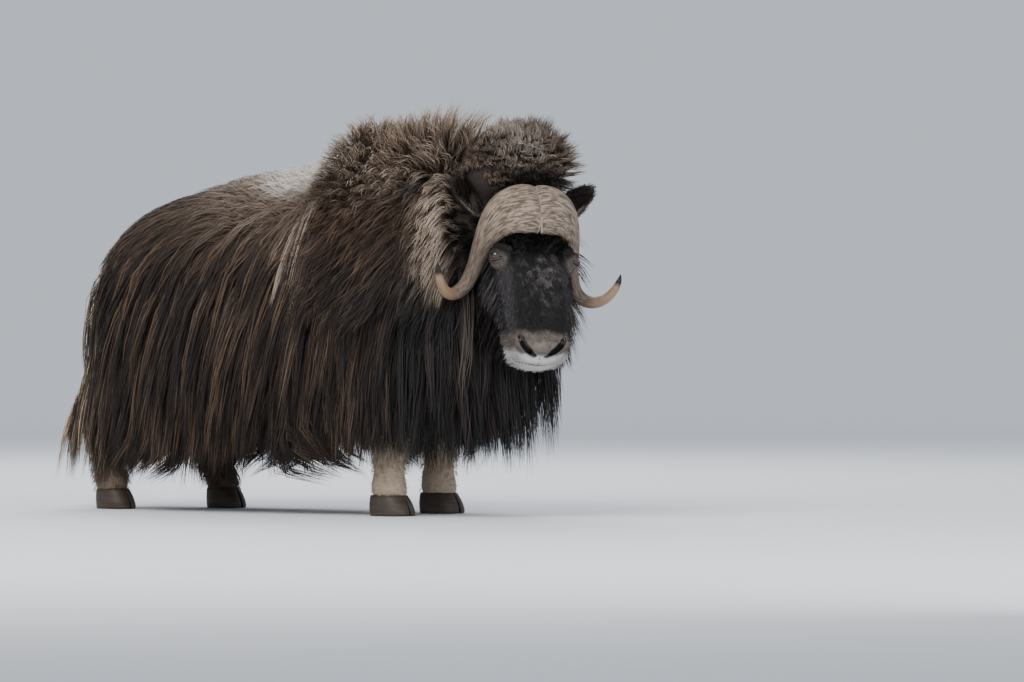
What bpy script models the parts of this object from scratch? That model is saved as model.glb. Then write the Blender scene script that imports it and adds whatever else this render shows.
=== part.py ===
"""A life-size muskox bull, standing square with its head turned to its right.

Metres, +Z up, +X the way the body faces, +Y the animal's left. The body is modelled about the
point on the floor midway between its feet, and at the end everything is moved so that the
origin is the middle of the model's box, on the floor.
"""

import math
import random

import bmesh
import bpy
from mathutils import Matrix, Vector
from mathutils.bvhtree import BVHTree

# Space left between two touching pieces, and the shortest edge kept after a Boolean
GAP = 0.0003
SLIVER = 0.0012

# Where the four feet stand: X, Y
FEET = {
    "fore_right": (0.545, -0.155),
    "fore_left": (0.535, 0.150),
    "hind_right": (-0.640, -0.155),
    "hind_left": (-0.385, 0.145),
}

# The head: the point midway between the eyes, and how the head is turned, hung and tilted
EYE_LINE = Vector((1.135, -0.150, 0.873))
HEAD_TURN = math.radians(-36.0)
HEAD_DROP = math.radians(62.0)
HEAD_TILT = math.radians(3.5)

# Points round one ring of each body piece
TORSO_SIDES = 26
HEAD_SIDES = 26
LEG_SIDES = 10

# Coat colours, roughness and metallic value
COLOURS = {
    "guard_hair": (0.055, 0.036, 0.026, 1.0),
    "mane_hair": (0.120, 0.085, 0.062, 1.0),
    "face_hair": (0.020, 0.016, 0.015, 1.0),
    "leg_hair": (0.330, 0.250, 0.180, 1.0),
    "horn": (0.330, 0.250, 0.185, 1.0),
    "hoof": (0.040, 0.032, 0.028, 1.0),
    "eye": (0.030, 0.018, 0.010, 1.0),
}
ROUGHNESS = {"horn": 0.55, "hoof": 0.45, "eye": 0.08}

# Torso sections, back to front: X, top, bottom, half width, height of the widest point
TORSO_SECTIONS = (
    (-0.700, 0.860, 0.560, 0.110, 0.700),
    (-0.640, 0.935, 0.480, 0.195, 0.700),
    (-0.540, 1.010, 0.440, 0.265, 0.700),
    (-0.380, 1.065, 0.425, 0.315, 0.700),
    (-0.120, 1.115, 0.420, 0.340, 0.710),
    (0.120, 1.145, 0.420, 0.345, 0.720),
    (0.300, 1.200, 0.420, 0.340, 0.730),
)
RUMP_END = Vector((-0.725, 0.0, 0.700))

# Shoulder and neck sections, back to front: centre, turn, lean back, up, down, half width
SHOULDER_SECTIONS = (
    ((0.430, 0.000, 0.860), 0.0, 10.0, 0.425, 0.430, 0.335),
    ((0.570, -0.004, 0.865), -3.0, 20.0, 0.450, 0.415, 0.310),
)
NECK_SECTIONS = (
    ((0.570, -0.004, 0.865), -3.0, 20.0, 0.450, 0.415, 0.310),
    ((0.710, -0.020, 0.885), -12.0, 25.0, 0.405, 0.360, 0.265),
    ((0.840, -0.045, 0.920), -20.0, 25.0, 0.335, 0.285, 0.210),
    ((0.940, -0.078, 0.950), -28.0, 20.0, 0.235, 0.210, 0.150),
)

# Head sections from the poll to the lips, about the eye line, in the head's own directions:
# along the face, forehead height, throat height, half width, height of the widest point
HEAD_SECTIONS = (
    (-0.255, -0.020, -0.125, 0.075, -0.070),
    (-0.215, 0.022, -0.165, 0.115, -0.062),
    (-0.150, 0.050, -0.200, 0.132, -0.058),
    (-0.080, 0.058, -0.225, 0.134, -0.052),
    (-0.020, 0.056, -0.240, 0.134, -0.050),
    (0.050, 0.052, -0.238, 0.132, -0.052),
    (0.125, 0.047, -0.212, 0.125, -0.056),
    (0.200, 0.043, -0.178, 0.114, -0.058),
    (0.260, 0.033, -0.155, 0.105, -0.058),
    (0.305, 0.012, -0.148, 0.099, -0.062),
    (0.335, -0.018, -0.143, 0.087, -0.072),
    (0.353, -0.050, -0.132, 0.064, -0.085),
)
HEAD_BACK = (-0.268, 0.0, -0.072)
HEAD_FRONT = (0.362, 0.0, -0.090)

# One horn from the midline of the forehead to its tip: place on the head, half width along the
# boss, half thickness
HORN_SECTIONS = (
    ((-0.145, 0.004, 0.085), 0.088, 0.034),
    ((-0.145, 0.035, 0.090), 0.092, 0.040),
    ((-0.142, 0.078, 0.080), 0.088, 0.038),
    ((-0.129, 0.115, 0.052), 0.076, 0.033),
    ((-0.100, 0.143, 0.005), 0.056, 0.029),
    ((-0.060, 0.160, -0.050), 0.039, 0.026),
    ((-0.015, 0.173, -0.100), 0.030, 0.0235),
    ((0.028, 0.193, -0.138), 0.0265, 0.0220),
    ((0.056, 0.222, -0.152), 0.0250, 0.0210),
    ((0.073, 0.255, -0.140), 0.0230, 0.0200),
    ((0.073, 0.286, -0.112), 0.0195, 0.0175),
    ((0.056, 0.310, -0.080), 0.0155, 0.0140),
    ((0.034, 0.322, -0.057), 0.0105, 0.0098),
)
HORN_TIP = (0.014, 0.326, -0.040)
HORN_SIDES = 10

# Width of the groove between the two halves of the boss
HORN_GROOVE = 0.003

# Eye and lids on the head
EYE_CENTRE = (0.003, 0.133, 0.017)
EYE_RADIUS = 0.0215
EYE_FACING = (0.12, 0.80, 0.58)
ORBIT_RADIUS = 0.044
LID_RADIUS = 0.0075

# Ear: root, tip, half width, how deep its cup is
EAR_ROOT = (-0.203, 0.118, -0.088)
EAR_TIP = (-0.305, 0.258, -0.006)
EAR_HALF_WIDTH = 0.046
EAR_HALF_DEPTH = 0.026

# Mouth, lips and nostrils on the head
MOUTH_FRONT = (0.362, 0.0, -0.074)
MOUTH_GROOVE = 0.0050
UPPER_LIP_RISE = 0.014
LOWER_LIP_DROP = 0.014
LIP_RADIUS = 0.011
NOSTRIL_TOP = (0.290, 0.067, 0.008)
NOSTRIL_LOW = (0.345, 0.026, -0.034)
NOSTRIL_RADIUS = 0.011

# Height of the lower end of each leg, where the hoof begins
LEG_FOOT = 0.072

# Legs, top to bottom above the hoof: height, offset forward, half width, half depth
FORE_LEG = (
    (0.560, -0.020, 0.080, 0.105),
    (0.430, -0.010, 0.074, 0.092),
    (0.330, 0.002, 0.064, 0.072),
    (0.260, 0.008, 0.064, 0.070),
    (0.190, 0.000, 0.056, 0.060),
    (0.130, -0.004, 0.058, 0.064),
    (0.095, -0.002, 0.064, 0.072),
    (LEG_FOOT, 0.000, 0.058, 0.064),
)
HIND_LEG = (
    (0.560, 0.100, 0.085, 0.100),
    (0.450, 0.035, 0.078, 0.094),
    (0.370, -0.036, 0.062, 0.074),
    (0.300, -0.050, 0.058, 0.066),
    (0.210, -0.034, 0.052, 0.060),
    (0.140, -0.020, 0.054, 0.062),
    (0.095, -0.008, 0.060, 0.068),
    (LEG_FOOT, -0.004, 0.052, 0.058),
)
# Hooves
FORE_HOOF = (0.066, 0.078)
HIND_HOOF = (0.058, 0.070)
CLEFT = 0.006
TOE_TOP = 0.052

# Where the bulge round the eye is centred, and how wide the lids stand open
ORBIT_CENTRE = (0.0, 0.112, 0.002)
LID_OPEN = (0.0200, 0.0150)

# Ear: where its cup faces, and its width from root to tip
EAR_FACING = (-0.25, 0.30, 0.92)
EAR_SHAPE = ((0.0, 0.55), (0.25, 0.92), (0.5, 1.0), (0.75, 0.72), (0.92, 0.38))

# The line of the mouth from its corner forward, and how far the nostril bows out
MOUTH_SIDE = ((0.238, -0.100), (0.270, -0.094), (0.300, -0.088), (0.325, -0.082), (0.342, -0.078))
NOSTRIL_BOW = (0.004, 0.010, 0.003)

# Dew claw behind, aside and up, and the hoof's sections: height, share of its size, set back
DEWCLAW = (0.070, 0.030, 0.108)
HOOF_FORWARD = 0.010
HOOF_SIDES = 16
HOOF_RINGS = (
    (0.0, 0.97, 0.0),
    (0.012, 1.0, 0.0),
    (0.040, 0.95, 0.006),
    (0.062, 0.86, 0.012),
    (LEG_FOOT - GAP, 0.80, 0.014),
)

# Tail, root to tip: X and height, and its radius at each
TAIL_LINE = ((-0.640, 0.900), (-0.715, 0.870), (-0.760, 0.800), (-0.782, 0.730))
TAIL_RADII = (0.044, 0.042, 0.036, 0.026)
TAIL_TIP = (-0.792, 0.680)


# Locks of the coat: how deep a root sits, the lowest that hair reaches, places of the sections
# along a lock and their share of its width
ROOT_DEPTH = 0.012
LOWEST_HAIR = 0.115
LOCK_STATIONS = (0.0, 0.25, 0.55, 0.82, 1.0)
LOCK_WIDTHS = (0.75, 1.0, 0.86, 0.50, 0.0)

# How strongly a lock is drawn back to the body where it lies on it
CLING = 0.65

# Tiers of the flanks, lowest first: root height, length, lift off the body, width, spacing
FLANK_TIERS = (
    (0.560, 0.460, 0.010, 0.140, 0.165),
    (0.710, 0.610, 0.027, 0.124, 0.134),
    (0.865, 0.570, 0.043, 0.124, 0.134),
    (1.020, 0.500, 0.057, 0.116, 0.134),
)
FLANK_SWEEP = 0.40
SWEEP_FROM = 0.40
FLANK_PULL = 6.0
RUMP_TURN = -0.420

# Rump: root height, length, lift, and how many locks go round it
RUMP_TIERS = (
    (0.600, 0.480, 0.100, 8),
    (0.720, 0.600, 0.096, 8),
    (0.830, 0.620, 0.072, 6),
    (0.915, 0.420, 0.050, 5),
)

# Shoulders behind the mane: root height, first and last X, how many, length, lift
SHOULDER_TIER = (1.100, 0.130, 0.400, 3, 0.440, 0.066)
BACK_LOCKS = 7
BACK_FROM = -0.500
BACK_TO = 0.300
BACK_LENGTH = 0.300
BACK_LIFT = 0.036

# Rows of locks on the neck: the share of the way to the head, first and last degrees round
# it, how many, their way (forward, down its side and up), length, width, stand and pull
MANE_ROWS = (
    (0.12, -74, 74, 6, (-0.12, 0.45, 0.10), 0.255, 0.150, 0.90, 6.5),
    (0.38, -94, 94, 7, (-0.12, 0.45, 0.15), 0.275, 0.150, 0.88, 7.0),
    (0.66, -116, 116, 9, (-0.05, 0.38, 0.20), 0.275, 0.140, 0.90, 6.5),
    (0.92, -134, 134, 11, (0.06, 0.20, 0.15), 0.250, 0.130, 0.95, 5.0),
    (1.00, -62, 62, 6, (0.42, 0.25, 0.60), 0.265, 0.135, 0.60, 8.0),
    (0.03, 94, 266, 8, (-0.05, 0.0, -1.0), 0.58, 0.130, 0.45, 3.0),
    (0.40, 114, 246, 6, (0.05, 0.0, -1.0), 0.53, 0.135, 0.45, 3.0),
    (0.78, 134, 226, 4, (0.15, 0.0, -1.0), 0.50, 0.135, 0.45, 3.0),
)

# Beard: place along the face, length, width
BEARD_ROWS = (
    (0.270, 0.150, 0.085),
    (0.165, 0.290, 0.110),
    (0.045, 0.400, 0.125),
)

DOWN = Vector((0, 0, -1))
random.seed(6)


def start_clean():
    """Removes what is in the file."""
    for thing in list(bpy.data.objects):
        bpy.data.objects.remove(thing)


def material(name):
    """The finish called name, made once."""
    made = bpy.data.materials.get(name)
    if made is None:
        made = bpy.data.materials.new(name)
        made.use_nodes = True
        shader = made.node_tree.nodes["Principled BSDF"]
        shader.inputs["Base Color"].default_value = COLOURS[name]
        shader.inputs["Roughness"].default_value = ROUGHNESS.get(name, 0.85)
        shader.inputs["Metallic"].default_value = 0.0
    return made


def add_object(name, mesh, finish):
    thing = bpy.data.objects.new(name, mesh)
    bpy.context.scene.collection.objects.link(thing)
    mesh.materials.clear()
    mesh.materials.append(material(finish))
    mesh.shade_smooth()
    return thing


def loft(rings, start=None, end=None):
    """A closed bmesh through rings of points, capped flat or drawn to the points start and end."""
    made = bmesh.new()
    loops = [[made.verts.new(point) for point in ring] for ring in rings]
    count = len(rings[0])
    for low, high in zip(loops, loops[1:]):
        for k in range(count):
            after = (k + 1) % count
            made.faces.new((low[k], low[after], high[after], high[k]))
    for loop, pole, order in ((loops[0], start, -1), (loops[-1], end, 1)):
        if pole is None:
            made.faces.new(loop[::order])
            continue
        tip = made.verts.new(pole)
        for k in range(count):
            pair = (loop[k], loop[(k + 1) % count])[::order]
            made.faces.new((*pair, tip))
    bmesh.ops.triangulate(made, faces=made.faces)
    bmesh.ops.recalc_face_normals(made, faces=made.faces)
    return made


def to_object(made, name, finish):
    mesh = bpy.data.meshes.new(name)
    made.to_mesh(mesh)
    made.free()
    return add_object(name, mesh, finish)


def ease(t):
    """0 to 1, level at both ends."""
    t = min(1.0, max(0.0, t))
    return t * t * (3.0 - 2.0 * t)


def curve_through(points, t):
    """Point at t, 0 to 1, on a smooth curve through points, which may be of any length."""
    spans = len(points) - 1
    place = min(max(t, 0.0), 1.0) * spans
    k = min(int(place), spans - 1)
    f = place - k
    before = points[max(k - 1, 0)]
    after = points[min(k + 2, spans)]
    found = []
    for a, b, c, d in zip(before, points[k], points[k + 1], after):
        slope_b, slope_c = (c - a) / 2, (d - b) / 2
        found.append(
            b * (2 * f**3 - 3 * f**2 + 1)
            + slope_b * (f**3 - 2 * f**2 + f)
            + c * (3 * f**2 - 2 * f**3)
            + slope_c * (f**3 - f**2)
        )
    return found


def egg(angle, half_width, rise, fall, squareness, keel):
    """Across and up on a section, angle 0 at the top: square-shouldered above, keeled below."""
    s, c = math.sin(angle), math.cos(angle)
    power = 2.0 / (squareness if c >= 0 else keel)
    across = half_width * math.copysign(abs(s) ** power, s)
    up = (rise if c >= 0 else -fall) * abs(c) ** power
    return across, up


def ring_angles(count):
    return [2 * math.pi * k / count for k in range(count)]


# The trunk


def torso_ring(x, top, bottom, half_width, widest):
    """One upright section of the torso."""
    ring = []
    for angle in ring_angles(TORSO_SIDES):
        across, up = egg(angle, half_width, top - widest, widest - bottom, 2.1, 2.3)
        ring.append(Vector((x, across, widest + up)))
    return ring


def leaning_ring(centre, turn, lean, rise, fall, half_width):
    """One section of the shoulders or neck, turned sideways and leaning back."""
    facing = Matrix.Rotation(math.radians(turn), 3, "Z")
    left = facing @ Vector((0, 1, 0))
    upward = facing @ Vector((-math.sin(math.radians(lean)), 0, math.cos(math.radians(lean))))
    ring = []
    for angle in ring_angles(TORSO_SIDES):
        across, up = egg(angle, half_width, rise, fall, 2.05, 2.2)
        ring.append(Vector(centre) + left * across + upward * up)
    return ring


def torso_core():
    rings = [torso_ring(*row) for row in TORSO_SECTIONS]
    rings += [leaning_ring(*row) for row in SHOULDER_SECTIONS]
    return loft(rings, start=RUMP_END)


def trunk_guide():
    """Torso and neck in one, for locks to lie on across the joint."""
    rings = [torso_ring(*row) for row in TORSO_SECTIONS]
    rings += [leaning_ring(*row) for row in SHOULDER_SECTIONS[:-1] + NECK_SECTIONS]
    return loft(rings, start=RUMP_END)


def neck_core():
    rings = [leaning_ring(*row) for row in NECK_SECTIONS]
    ahead = ring_plane(NECK_SECTIONS[0])[1]
    rings[0] = [point + ahead * GAP for point in rings[0]]
    return loft(rings)


def ring_plane(section):
    """Centre and forward direction of a leaning section."""
    centre, turn, lean = section[0], math.radians(section[1]), math.radians(section[2])
    ahead = Vector((math.cos(lean) * math.cos(turn), math.cos(lean) * math.sin(turn), math.sin(lean)))
    return Vector(centre), ahead


# The head


def head_directions():
    """Along the face towards the lips, to the animal's left, and out of the forehead."""
    ahead = Vector((math.cos(HEAD_TURN), math.sin(HEAD_TURN), 0))
    left = Vector((-math.sin(HEAD_TURN), math.cos(HEAD_TURN), 0))
    up = Vector((0, 0, 1))
    tilted_left = left * math.cos(HEAD_TILT) - up * math.sin(HEAD_TILT)
    tilted_up = up * math.cos(HEAD_TILT) + left * math.sin(HEAD_TILT)
    along = ahead * math.cos(HEAD_DROP) - tilted_up * math.sin(HEAD_DROP)
    out = ahead * math.sin(HEAD_DROP) + tilted_up * math.cos(HEAD_DROP)
    return along, tilted_left, out


ALONG, LEFT, OUT = head_directions()


def on_head(place):
    """A point given along the face, to the left and out of the forehead."""
    along, left, out = place
    return EYE_LINE + ALONG * along + LEFT * left + OUT * out


def head_way(direction):
    along, left, out = direction
    return (ALONG * along + LEFT * left + OUT * out).normalized()


def mirrored(place, side):
    """The same place on the animal's left, side 1, or right, side -1."""
    return (place[0], place[1] * side, place[2])


def head_ring(along, forehead, throat, half_width, widest):
    ring = []
    for angle in ring_angles(HEAD_SIDES):
        across, up = egg(angle, half_width, forehead - widest, widest - throat, 2.7, 1.9)
        ring.append(on_head((along, across, widest + up)))
    return ring


def head_core():
    rings = [head_ring(*row) for row in HEAD_SECTIONS]
    return loft(rings, start=on_head(HEAD_BACK), end=on_head(HEAD_FRONT))


# Pieces swept along a line


def frames_along(points, first_side):
    """A side and a face direction at each point of a line, turned as little as possible."""
    frames = []
    side = Vector(first_side)
    for k, point in enumerate(points):
        ahead = points[min(k + 1, len(points) - 1)] - points[max(k - 1, 0)]
        ahead.normalize()
        side = (side - ahead * side.dot(ahead)).normalized()
        frames.append((side, ahead.cross(side)))
    return frames


def swept(points, sizes, first_side, sides, start=None, end=None):
    """A closed body of elliptic sections along points. Each size is a half width and half depth."""
    rings = []
    for point, (side, face), (wide, deep) in zip(points, frames_along(points, first_side), sizes):
        rings.append(
            [
                point + side * (wide * math.cos(angle)) + face * (deep * math.sin(angle))
                for angle in ring_angles(sides)
            ]
        )
    return loft(rings, start, end)


def bead(centre, radii, directions, rings=6, sides=10):
    """An ellipsoid with the given radii along three directions."""
    rows = []
    for k in range(1, rings):
        polar = math.pi * k / rings
        rows.append(
            [
                centre
                + directions[0] * (radii[0] * math.cos(polar))
                + directions[1] * (radii[1] * math.sin(polar) * math.cos(angle))
                + directions[2] * (radii[2] * math.sin(polar) * math.sin(angle))
                for angle in ring_angles(sides)
            ]
        )
    return loft(rows, centre + directions[0] * radii[0], centre - directions[0] * radii[0])


# Joining and cutting


def evaluated_copy(thing):
    graph = bpy.context.evaluated_depsgraph_get()
    return bpy.data.meshes.new_from_object(thing.evaluated_get(graph))


def settle(thing):
    """Applies the object's modifiers and keeps only its largest closed surface."""
    mesh = evaluated_copy(thing)
    thing.modifiers.clear()
    thing.data = mesh
    made = bmesh.new()
    made.from_mesh(mesh)
    loose = set(made.faces)
    groups = []
    while loose:
        reached = [loose.pop()]
        for face in reached:
            for edge in face.edges:
                for other in edge.link_faces:
                    if other in loose:
                        loose.remove(other)
                        reached.append(other)
        groups.append(reached)
    groups.sort(key=len)
    for group in groups[:-1]:
        bmesh.ops.delete(made, geom=group, context="FACES")
    bmesh.ops.triangulate(made, faces=made.faces)
    made.to_mesh(mesh)
    made.free()
    mesh.shade_smooth()


def combine(thing, pieces, operation, solver="MANIFOLD"):
    """Joins pieces to thing, or cuts them from it, in one Boolean, and removes them."""
    if not pieces:
        return
    group = bpy.data.collections.new("pieces")
    for piece in pieces:
        group.objects.link(piece)
    step = thing.modifiers.new("combine", "BOOLEAN")
    step.operand_type = "COLLECTION"
    step.collection = group
    step.operation = operation
    step.solver = solver
    settle(thing)
    for piece in pieces:
        bpy.data.objects.remove(piece)
    bpy.data.collections.remove(group)


def merge_slivers(thing, rounds=4):
    """Closes up the shortest edges that a Boolean leaves, where the surface stays closed."""
    made = bmesh.new()
    made.from_mesh(thing.data)
    bmesh.ops.triangulate(made, faces=made.faces)
    for _ in range(rounds):
        moves, taken = {}, set()
        for edge in sorted(made.edges, key=lambda one: one.calc_length()):
            if edge.calc_length() > SLIVER:
                break
            a, b = edge.verts
            near_a = {one.other_vert(a) for one in a.link_edges}
            near_b = {one.other_vert(b) for one in b.link_edges}
            if len(near_a & near_b) == 2 and not taken & (near_a | near_b):
                moves[a] = b
                taken |= near_a | near_b
        if not moves:
            break
        bmesh.ops.weld_verts(made, targetmap=moves)
    made.to_mesh(thing.data)
    made.free()


def grown(thing, by=GAP):
    """A copy of thing, larger by the gap that touching pieces keep."""
    made = bmesh.new()
    made.from_mesh(thing.data)
    made.normal_update()
    moves = [vertex.normal * by * min(vertex.calc_shell_factor(), 5.0) for vertex in made.verts]
    for vertex, move in zip(made.verts, moves):
        vertex.co += move
    return to_object(made, thing.name + "_room", "guard_hair")


def join(thing, pieces):
    combine(thing, pieces, "UNION")


def join_with_room(thing, pieces):
    """Joins pieces to thing, and gives back a grown copy of each for cutting its neighbours."""
    rooms = [grown(one, GAP / 2) for one in [thing, *pieces]]
    join(thing, pieces)
    merge_slivers(thing)
    return rooms


def cut(thing, pieces):
    combine(thing, pieces, "DIFFERENCE")


def cut_round(thing, others, rooms):
    """Cuts thing clear of others. The rooms see to narrow folds, where a grown copy turns over."""
    cut(thing, [grown(other) for other in others])
    cut(thing, rooms)


def block_beyond(point, ahead, reach=1.0):
    """A large block whose one face passes through point, lying on the side that ahead shows."""
    side = ahead.orthogonal().normalized()
    other = ahead.cross(side)
    rings = []
    for depth in (0.0, reach):
        middle = point + ahead * depth
        rings.append([middle + (side * x + other * y) * reach for x, y in ((1, 1), (-1, 1), (-1, -1), (1, -1))])
    return loft(rings)


def near_side(height, along):
    """How far to the side the head reaches at a height and a place along the face."""
    for low, high in zip(HEAD_SECTIONS, HEAD_SECTIONS[1:]):
        if low[0] <= along <= high[0]:
            break
    f = (along - low[0]) / (high[0] - low[0])
    _, forehead, throat, half_width, widest = [a + (b - a) * f for a, b in zip(low, high)]
    if height >= widest:
        share, power = (height - widest) / (forehead - widest), 2.7
    else:
        share, power = (widest - height) / (widest - throat), 1.9
    return half_width * max(0.0, 1.0 - min(1.0, share) ** power) ** (1 / power)


def tube(points, radius, sides=6, first_side=None):
    sizes = [(radius, radius)] * len(points)
    return swept(points, sizes, first_side or OUT, sides)


def eye_directions(side):
    """Out of the eye, along the face, and up over it."""
    out = head_way(mirrored(EYE_FACING, side))
    across = (ALONG - out * ALONG.dot(out)).normalized()
    over = out.cross(across)
    if over.dot(OUT) < 0:
        over = -over
    return out, across, over


def eye_ball(side):
    return bead(on_head(mirrored(EYE_CENTRE, side)), (EYE_RADIUS,) * 3, eye_directions(side), 8, 12)


def lid_pieces(side):
    """The bulge round the eye and its two lids."""
    out, across, over = eye_directions(side)
    middle = on_head(mirrored(ORBIT_CENTRE, side))
    pieces = [bead(middle, (ORBIT_RADIUS, ORBIT_RADIUS * 1.15, ORBIT_RADIUS), (out, across, over))]
    eye = on_head(mirrored(EYE_CENTRE, side))
    for way in (1, -1):
        line = []
        for k in range(6):
            angle = math.pi * (k / 5 * 1.16 - 0.08)
            along, up = LID_OPEN[0] * math.cos(angle), LID_OPEN[1] * math.sin(angle) * way
            forward = math.sqrt(EYE_RADIUS**2 - min(along**2 + up**2, EYE_RADIUS**2 * 0.9))
            line.append(eye + across * along + over * up + out * (forward - 0.001))
        pieces.append(tube(line, LID_RADIUS, 5, out))
    return pieces


def mouth_line(rise, sink):
    """The line between the lips from corner to corner, raised by rise and sunk by sink."""
    left = []
    for along, height in MOUTH_SIDE:
        left.append((along, near_side(height + rise, along) - sink, height + rise))
    ahead, up = MOUTH_FRONT[0] - sink, MOUTH_FRONT[2] + rise
    bow = [(ahead - 0.003, 0.030, up), (ahead, 0.0, up), (ahead - 0.003, -0.030, up)]
    right = [mirrored(place, -1) for place in reversed(left)]
    return [on_head(place) for place in left + bow + right]


def lip_pieces():
    rises = (UPPER_LIP_RISE, -LOWER_LIP_DROP)
    return [tube(mouth_line(rise, LIP_RADIUS * 0.62), LIP_RADIUS) for rise in rises]


def nostril(side):
    """The slit of one nostril, wide at its outer top and running in towards the lip."""
    top, low = Vector(mirrored(NOSTRIL_TOP, side)), Vector(mirrored(NOSTRIL_LOW, side))
    bow = Vector(mirrored(NOSTRIL_BOW, side))
    points, sizes = [], []
    for t, share in ((0, 0.65), (0.25, 1.0), (0.5, 0.9), (0.75, 0.6), (1, 0.35)):
        points.append(on_head(top + (low - top) * t + bow * (4 * t * (1 - t))))
        sizes.append((NOSTRIL_RADIUS * share, NOSTRIL_RADIUS * share))
    return swept(points, sizes, OUT, 8)


def as_pieces(shapes):
    return [to_object(made, "piece", "face_hair") for made in shapes]


def head_body():
    head = to_object(head_core(), "head", "face_hair")
    join(head, as_pieces([piece for side in (1, -1) for piece in lid_pieces(side)] + lip_pieces()))
    cut(head, as_pieces([nostril(1), nostril(-1), tube(mouth_line(0.0, -0.001), MOUTH_GROOVE)]))
    return head


def side_name(stem, side):
    return stem + ("_left" if side > 0 else "_right")


def horn(side):
    points = [on_head(mirrored(row[0], side)) for row in HORN_SECTIONS]
    sizes = [(row[1], row[2]) for row in HORN_SECTIONS]
    made = swept(points, sizes, ALONG, HORN_SIDES, end=on_head(mirrored(HORN_TIP, side)))
    thing = to_object(made, side_name("horn", side), "horn")
    middle = on_head((0.0, HORN_GROOVE / 2 * side, 0.0))
    cut(thing, as_pieces([block_beyond(middle, LEFT * -side, 0.6)]))
    return thing


def ear(side):
    """A leaf shaped shell, hollowed towards the front."""
    root, tip = on_head(mirrored(EAR_ROOT, side)), on_head(mirrored(EAR_TIP, side))
    axis = (tip - root).normalized()
    opening = head_way(mirrored(EAR_FACING, side))
    opening = (opening - axis * opening.dot(axis)).normalized()
    across = axis.cross(opening)
    points, sizes, inner, narrow = [], [], [], []
    for t, share in EAR_SHAPE:
        point = root + (tip - root) * t - opening * (0.010 * math.sin(math.pi * t))
        wide, deep = EAR_HALF_WIDTH * share, EAR_HALF_DEPTH * share
        points.append(point)
        sizes.append((wide, deep))
        inner.append(point + opening * (deep * 0.62) + axis * 0.012)
        narrow.append((wide * 0.80, deep * 0.92))
    shell = to_object(swept(points, sizes, across, 8, end=tip), side_name("ear", side), "mane_hair")
    cut(shell, as_pieces([swept(inner, narrow, across, 8, end=tip + opening * 0.010)]))
    return shell


def leg(name, rows):
    """A leg from its top inside the body to just above the hoof."""
    foot_x, foot_y = FEET[name]
    rings = []
    for height, forward, half_width, half_depth in rows:
        middle = Vector((foot_x + forward, foot_y, height))
        rings.append(
            [
                middle + Vector((half_depth * math.cos(angle), half_width * math.sin(angle), 0))
                for angle in ring_angles(LEG_SIDES)
            ]
        )
    stem = "foreleg_" if name.startswith("fore") else "hindleg_"
    thing = to_object(loft(rings), stem + name.split("_")[1], "leg_hair")
    upright = (Vector((1, 0, 0)), Vector((0, 1, 0)), Vector((0, 0, 1)))
    claws = []
    for way in (1, -1):
        place = Vector((foot_x - DEWCLAW[0], foot_y + DEWCLAW[1] * way, DEWCLAW[2]))
        claws.append(bead(place, (0.017, 0.014, 0.024), upright, 4, 6))
    join(thing, as_pieces(claws))
    return thing


def hoof(name, size):
    """Two toes joined under the pastern, parted from the front by the cleft."""
    foot_x, foot_y = FEET[name]
    middle = foot_x + HOOF_FORWARD
    half_width, half_depth = size
    rings = []
    for height, share, back in HOOF_RINGS:
        ring = []
        for angle in ring_angles(HOOF_SIDES):
            deep = half_depth * share
            across, ahead = egg(angle, half_width * share, deep, deep, 2.5, 2.3)
            ring.append(Vector((middle - back + ahead, foot_y + across, height)))
        rings.append(ring)
    thing = to_object(loft(rings), "hoof_" + name, "hoof")
    wedge = []
    for height, share in ((-0.01, 1.0), (TOE_TOP, 0.45)):
        front, back = middle + half_depth * 1.2, middle - half_depth * 0.35 * share
        wide, thin = CLEFT * share * 1.6, CLEFT * share * 0.5
        corners = ((front, wide), (back, thin), (back, -thin), (front, -wide))
        wedge.append([Vector((x, foot_y + y, height)) for x, y in corners])
    cut(thing, as_pieces([loft(wedge)]))
    return thing


def tail_stub():
    points = [Vector((x, 0, z)) for x, z in TAIL_LINE]
    sizes = [(radius, radius * 0.8) for radius in TAIL_RADII]
    made = swept(points, sizes, Vector((0, 1, 0)), 10, end=Vector((TAIL_TIP[0], 0, TAIL_TIP[1])))
    return to_object(made, "tail", "guard_hair")


# The coat out to its tips


class Core:
    """The body that a node's locks grow from."""

    def __init__(self, made):
        self.tree = BVHTree.FromBMesh(made)
        made.free()

    def nearest(self, point):
        close, out, _, _ = self.tree.find_nearest(point)
        return close, out

    def seen_from(self, start, way):
        """Where a straight line from start first meets the body, or None."""
        hit, out, _, _ = self.tree.ray_cast(start, way)
        return None if hit is None else (hit, out)


def lock_line(core, root, way, length, lift, pull, steps=14):
    """Points and outward directions of a lock that lies along the body and then hangs from it."""
    close, out = core.nearest(root)
    heading = (way - out * way.dot(out)).normalized()
    stride = length / steps
    point = close - out * ROOT_DEPTH
    line = [(point.copy(), out.copy())]
    for k in range(1, steps + 1):
        heading = (heading + DOWN * (pull * stride)).normalized()
        moved = point + heading * stride
        close, normal = core.nearest(moved)
        wanted = -ROOT_DEPTH + (lift + ROOT_DEPTH) * ease(k / steps * 2.2)
        height = (moved - close).dot(normal)
        if height < wanted:
            moved = close + normal * wanted
            out = normal.copy()
        elif normal.z > 0.04:
            moved -= normal * ((height - wanted) * CLING)
            out = normal.copy()
        heading = (moved - point).normalized()
        if moved.z < LOWEST_HAIR:
            break
        point = moved
        line.append((point.copy(), out.copy()))
    return line


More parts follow.
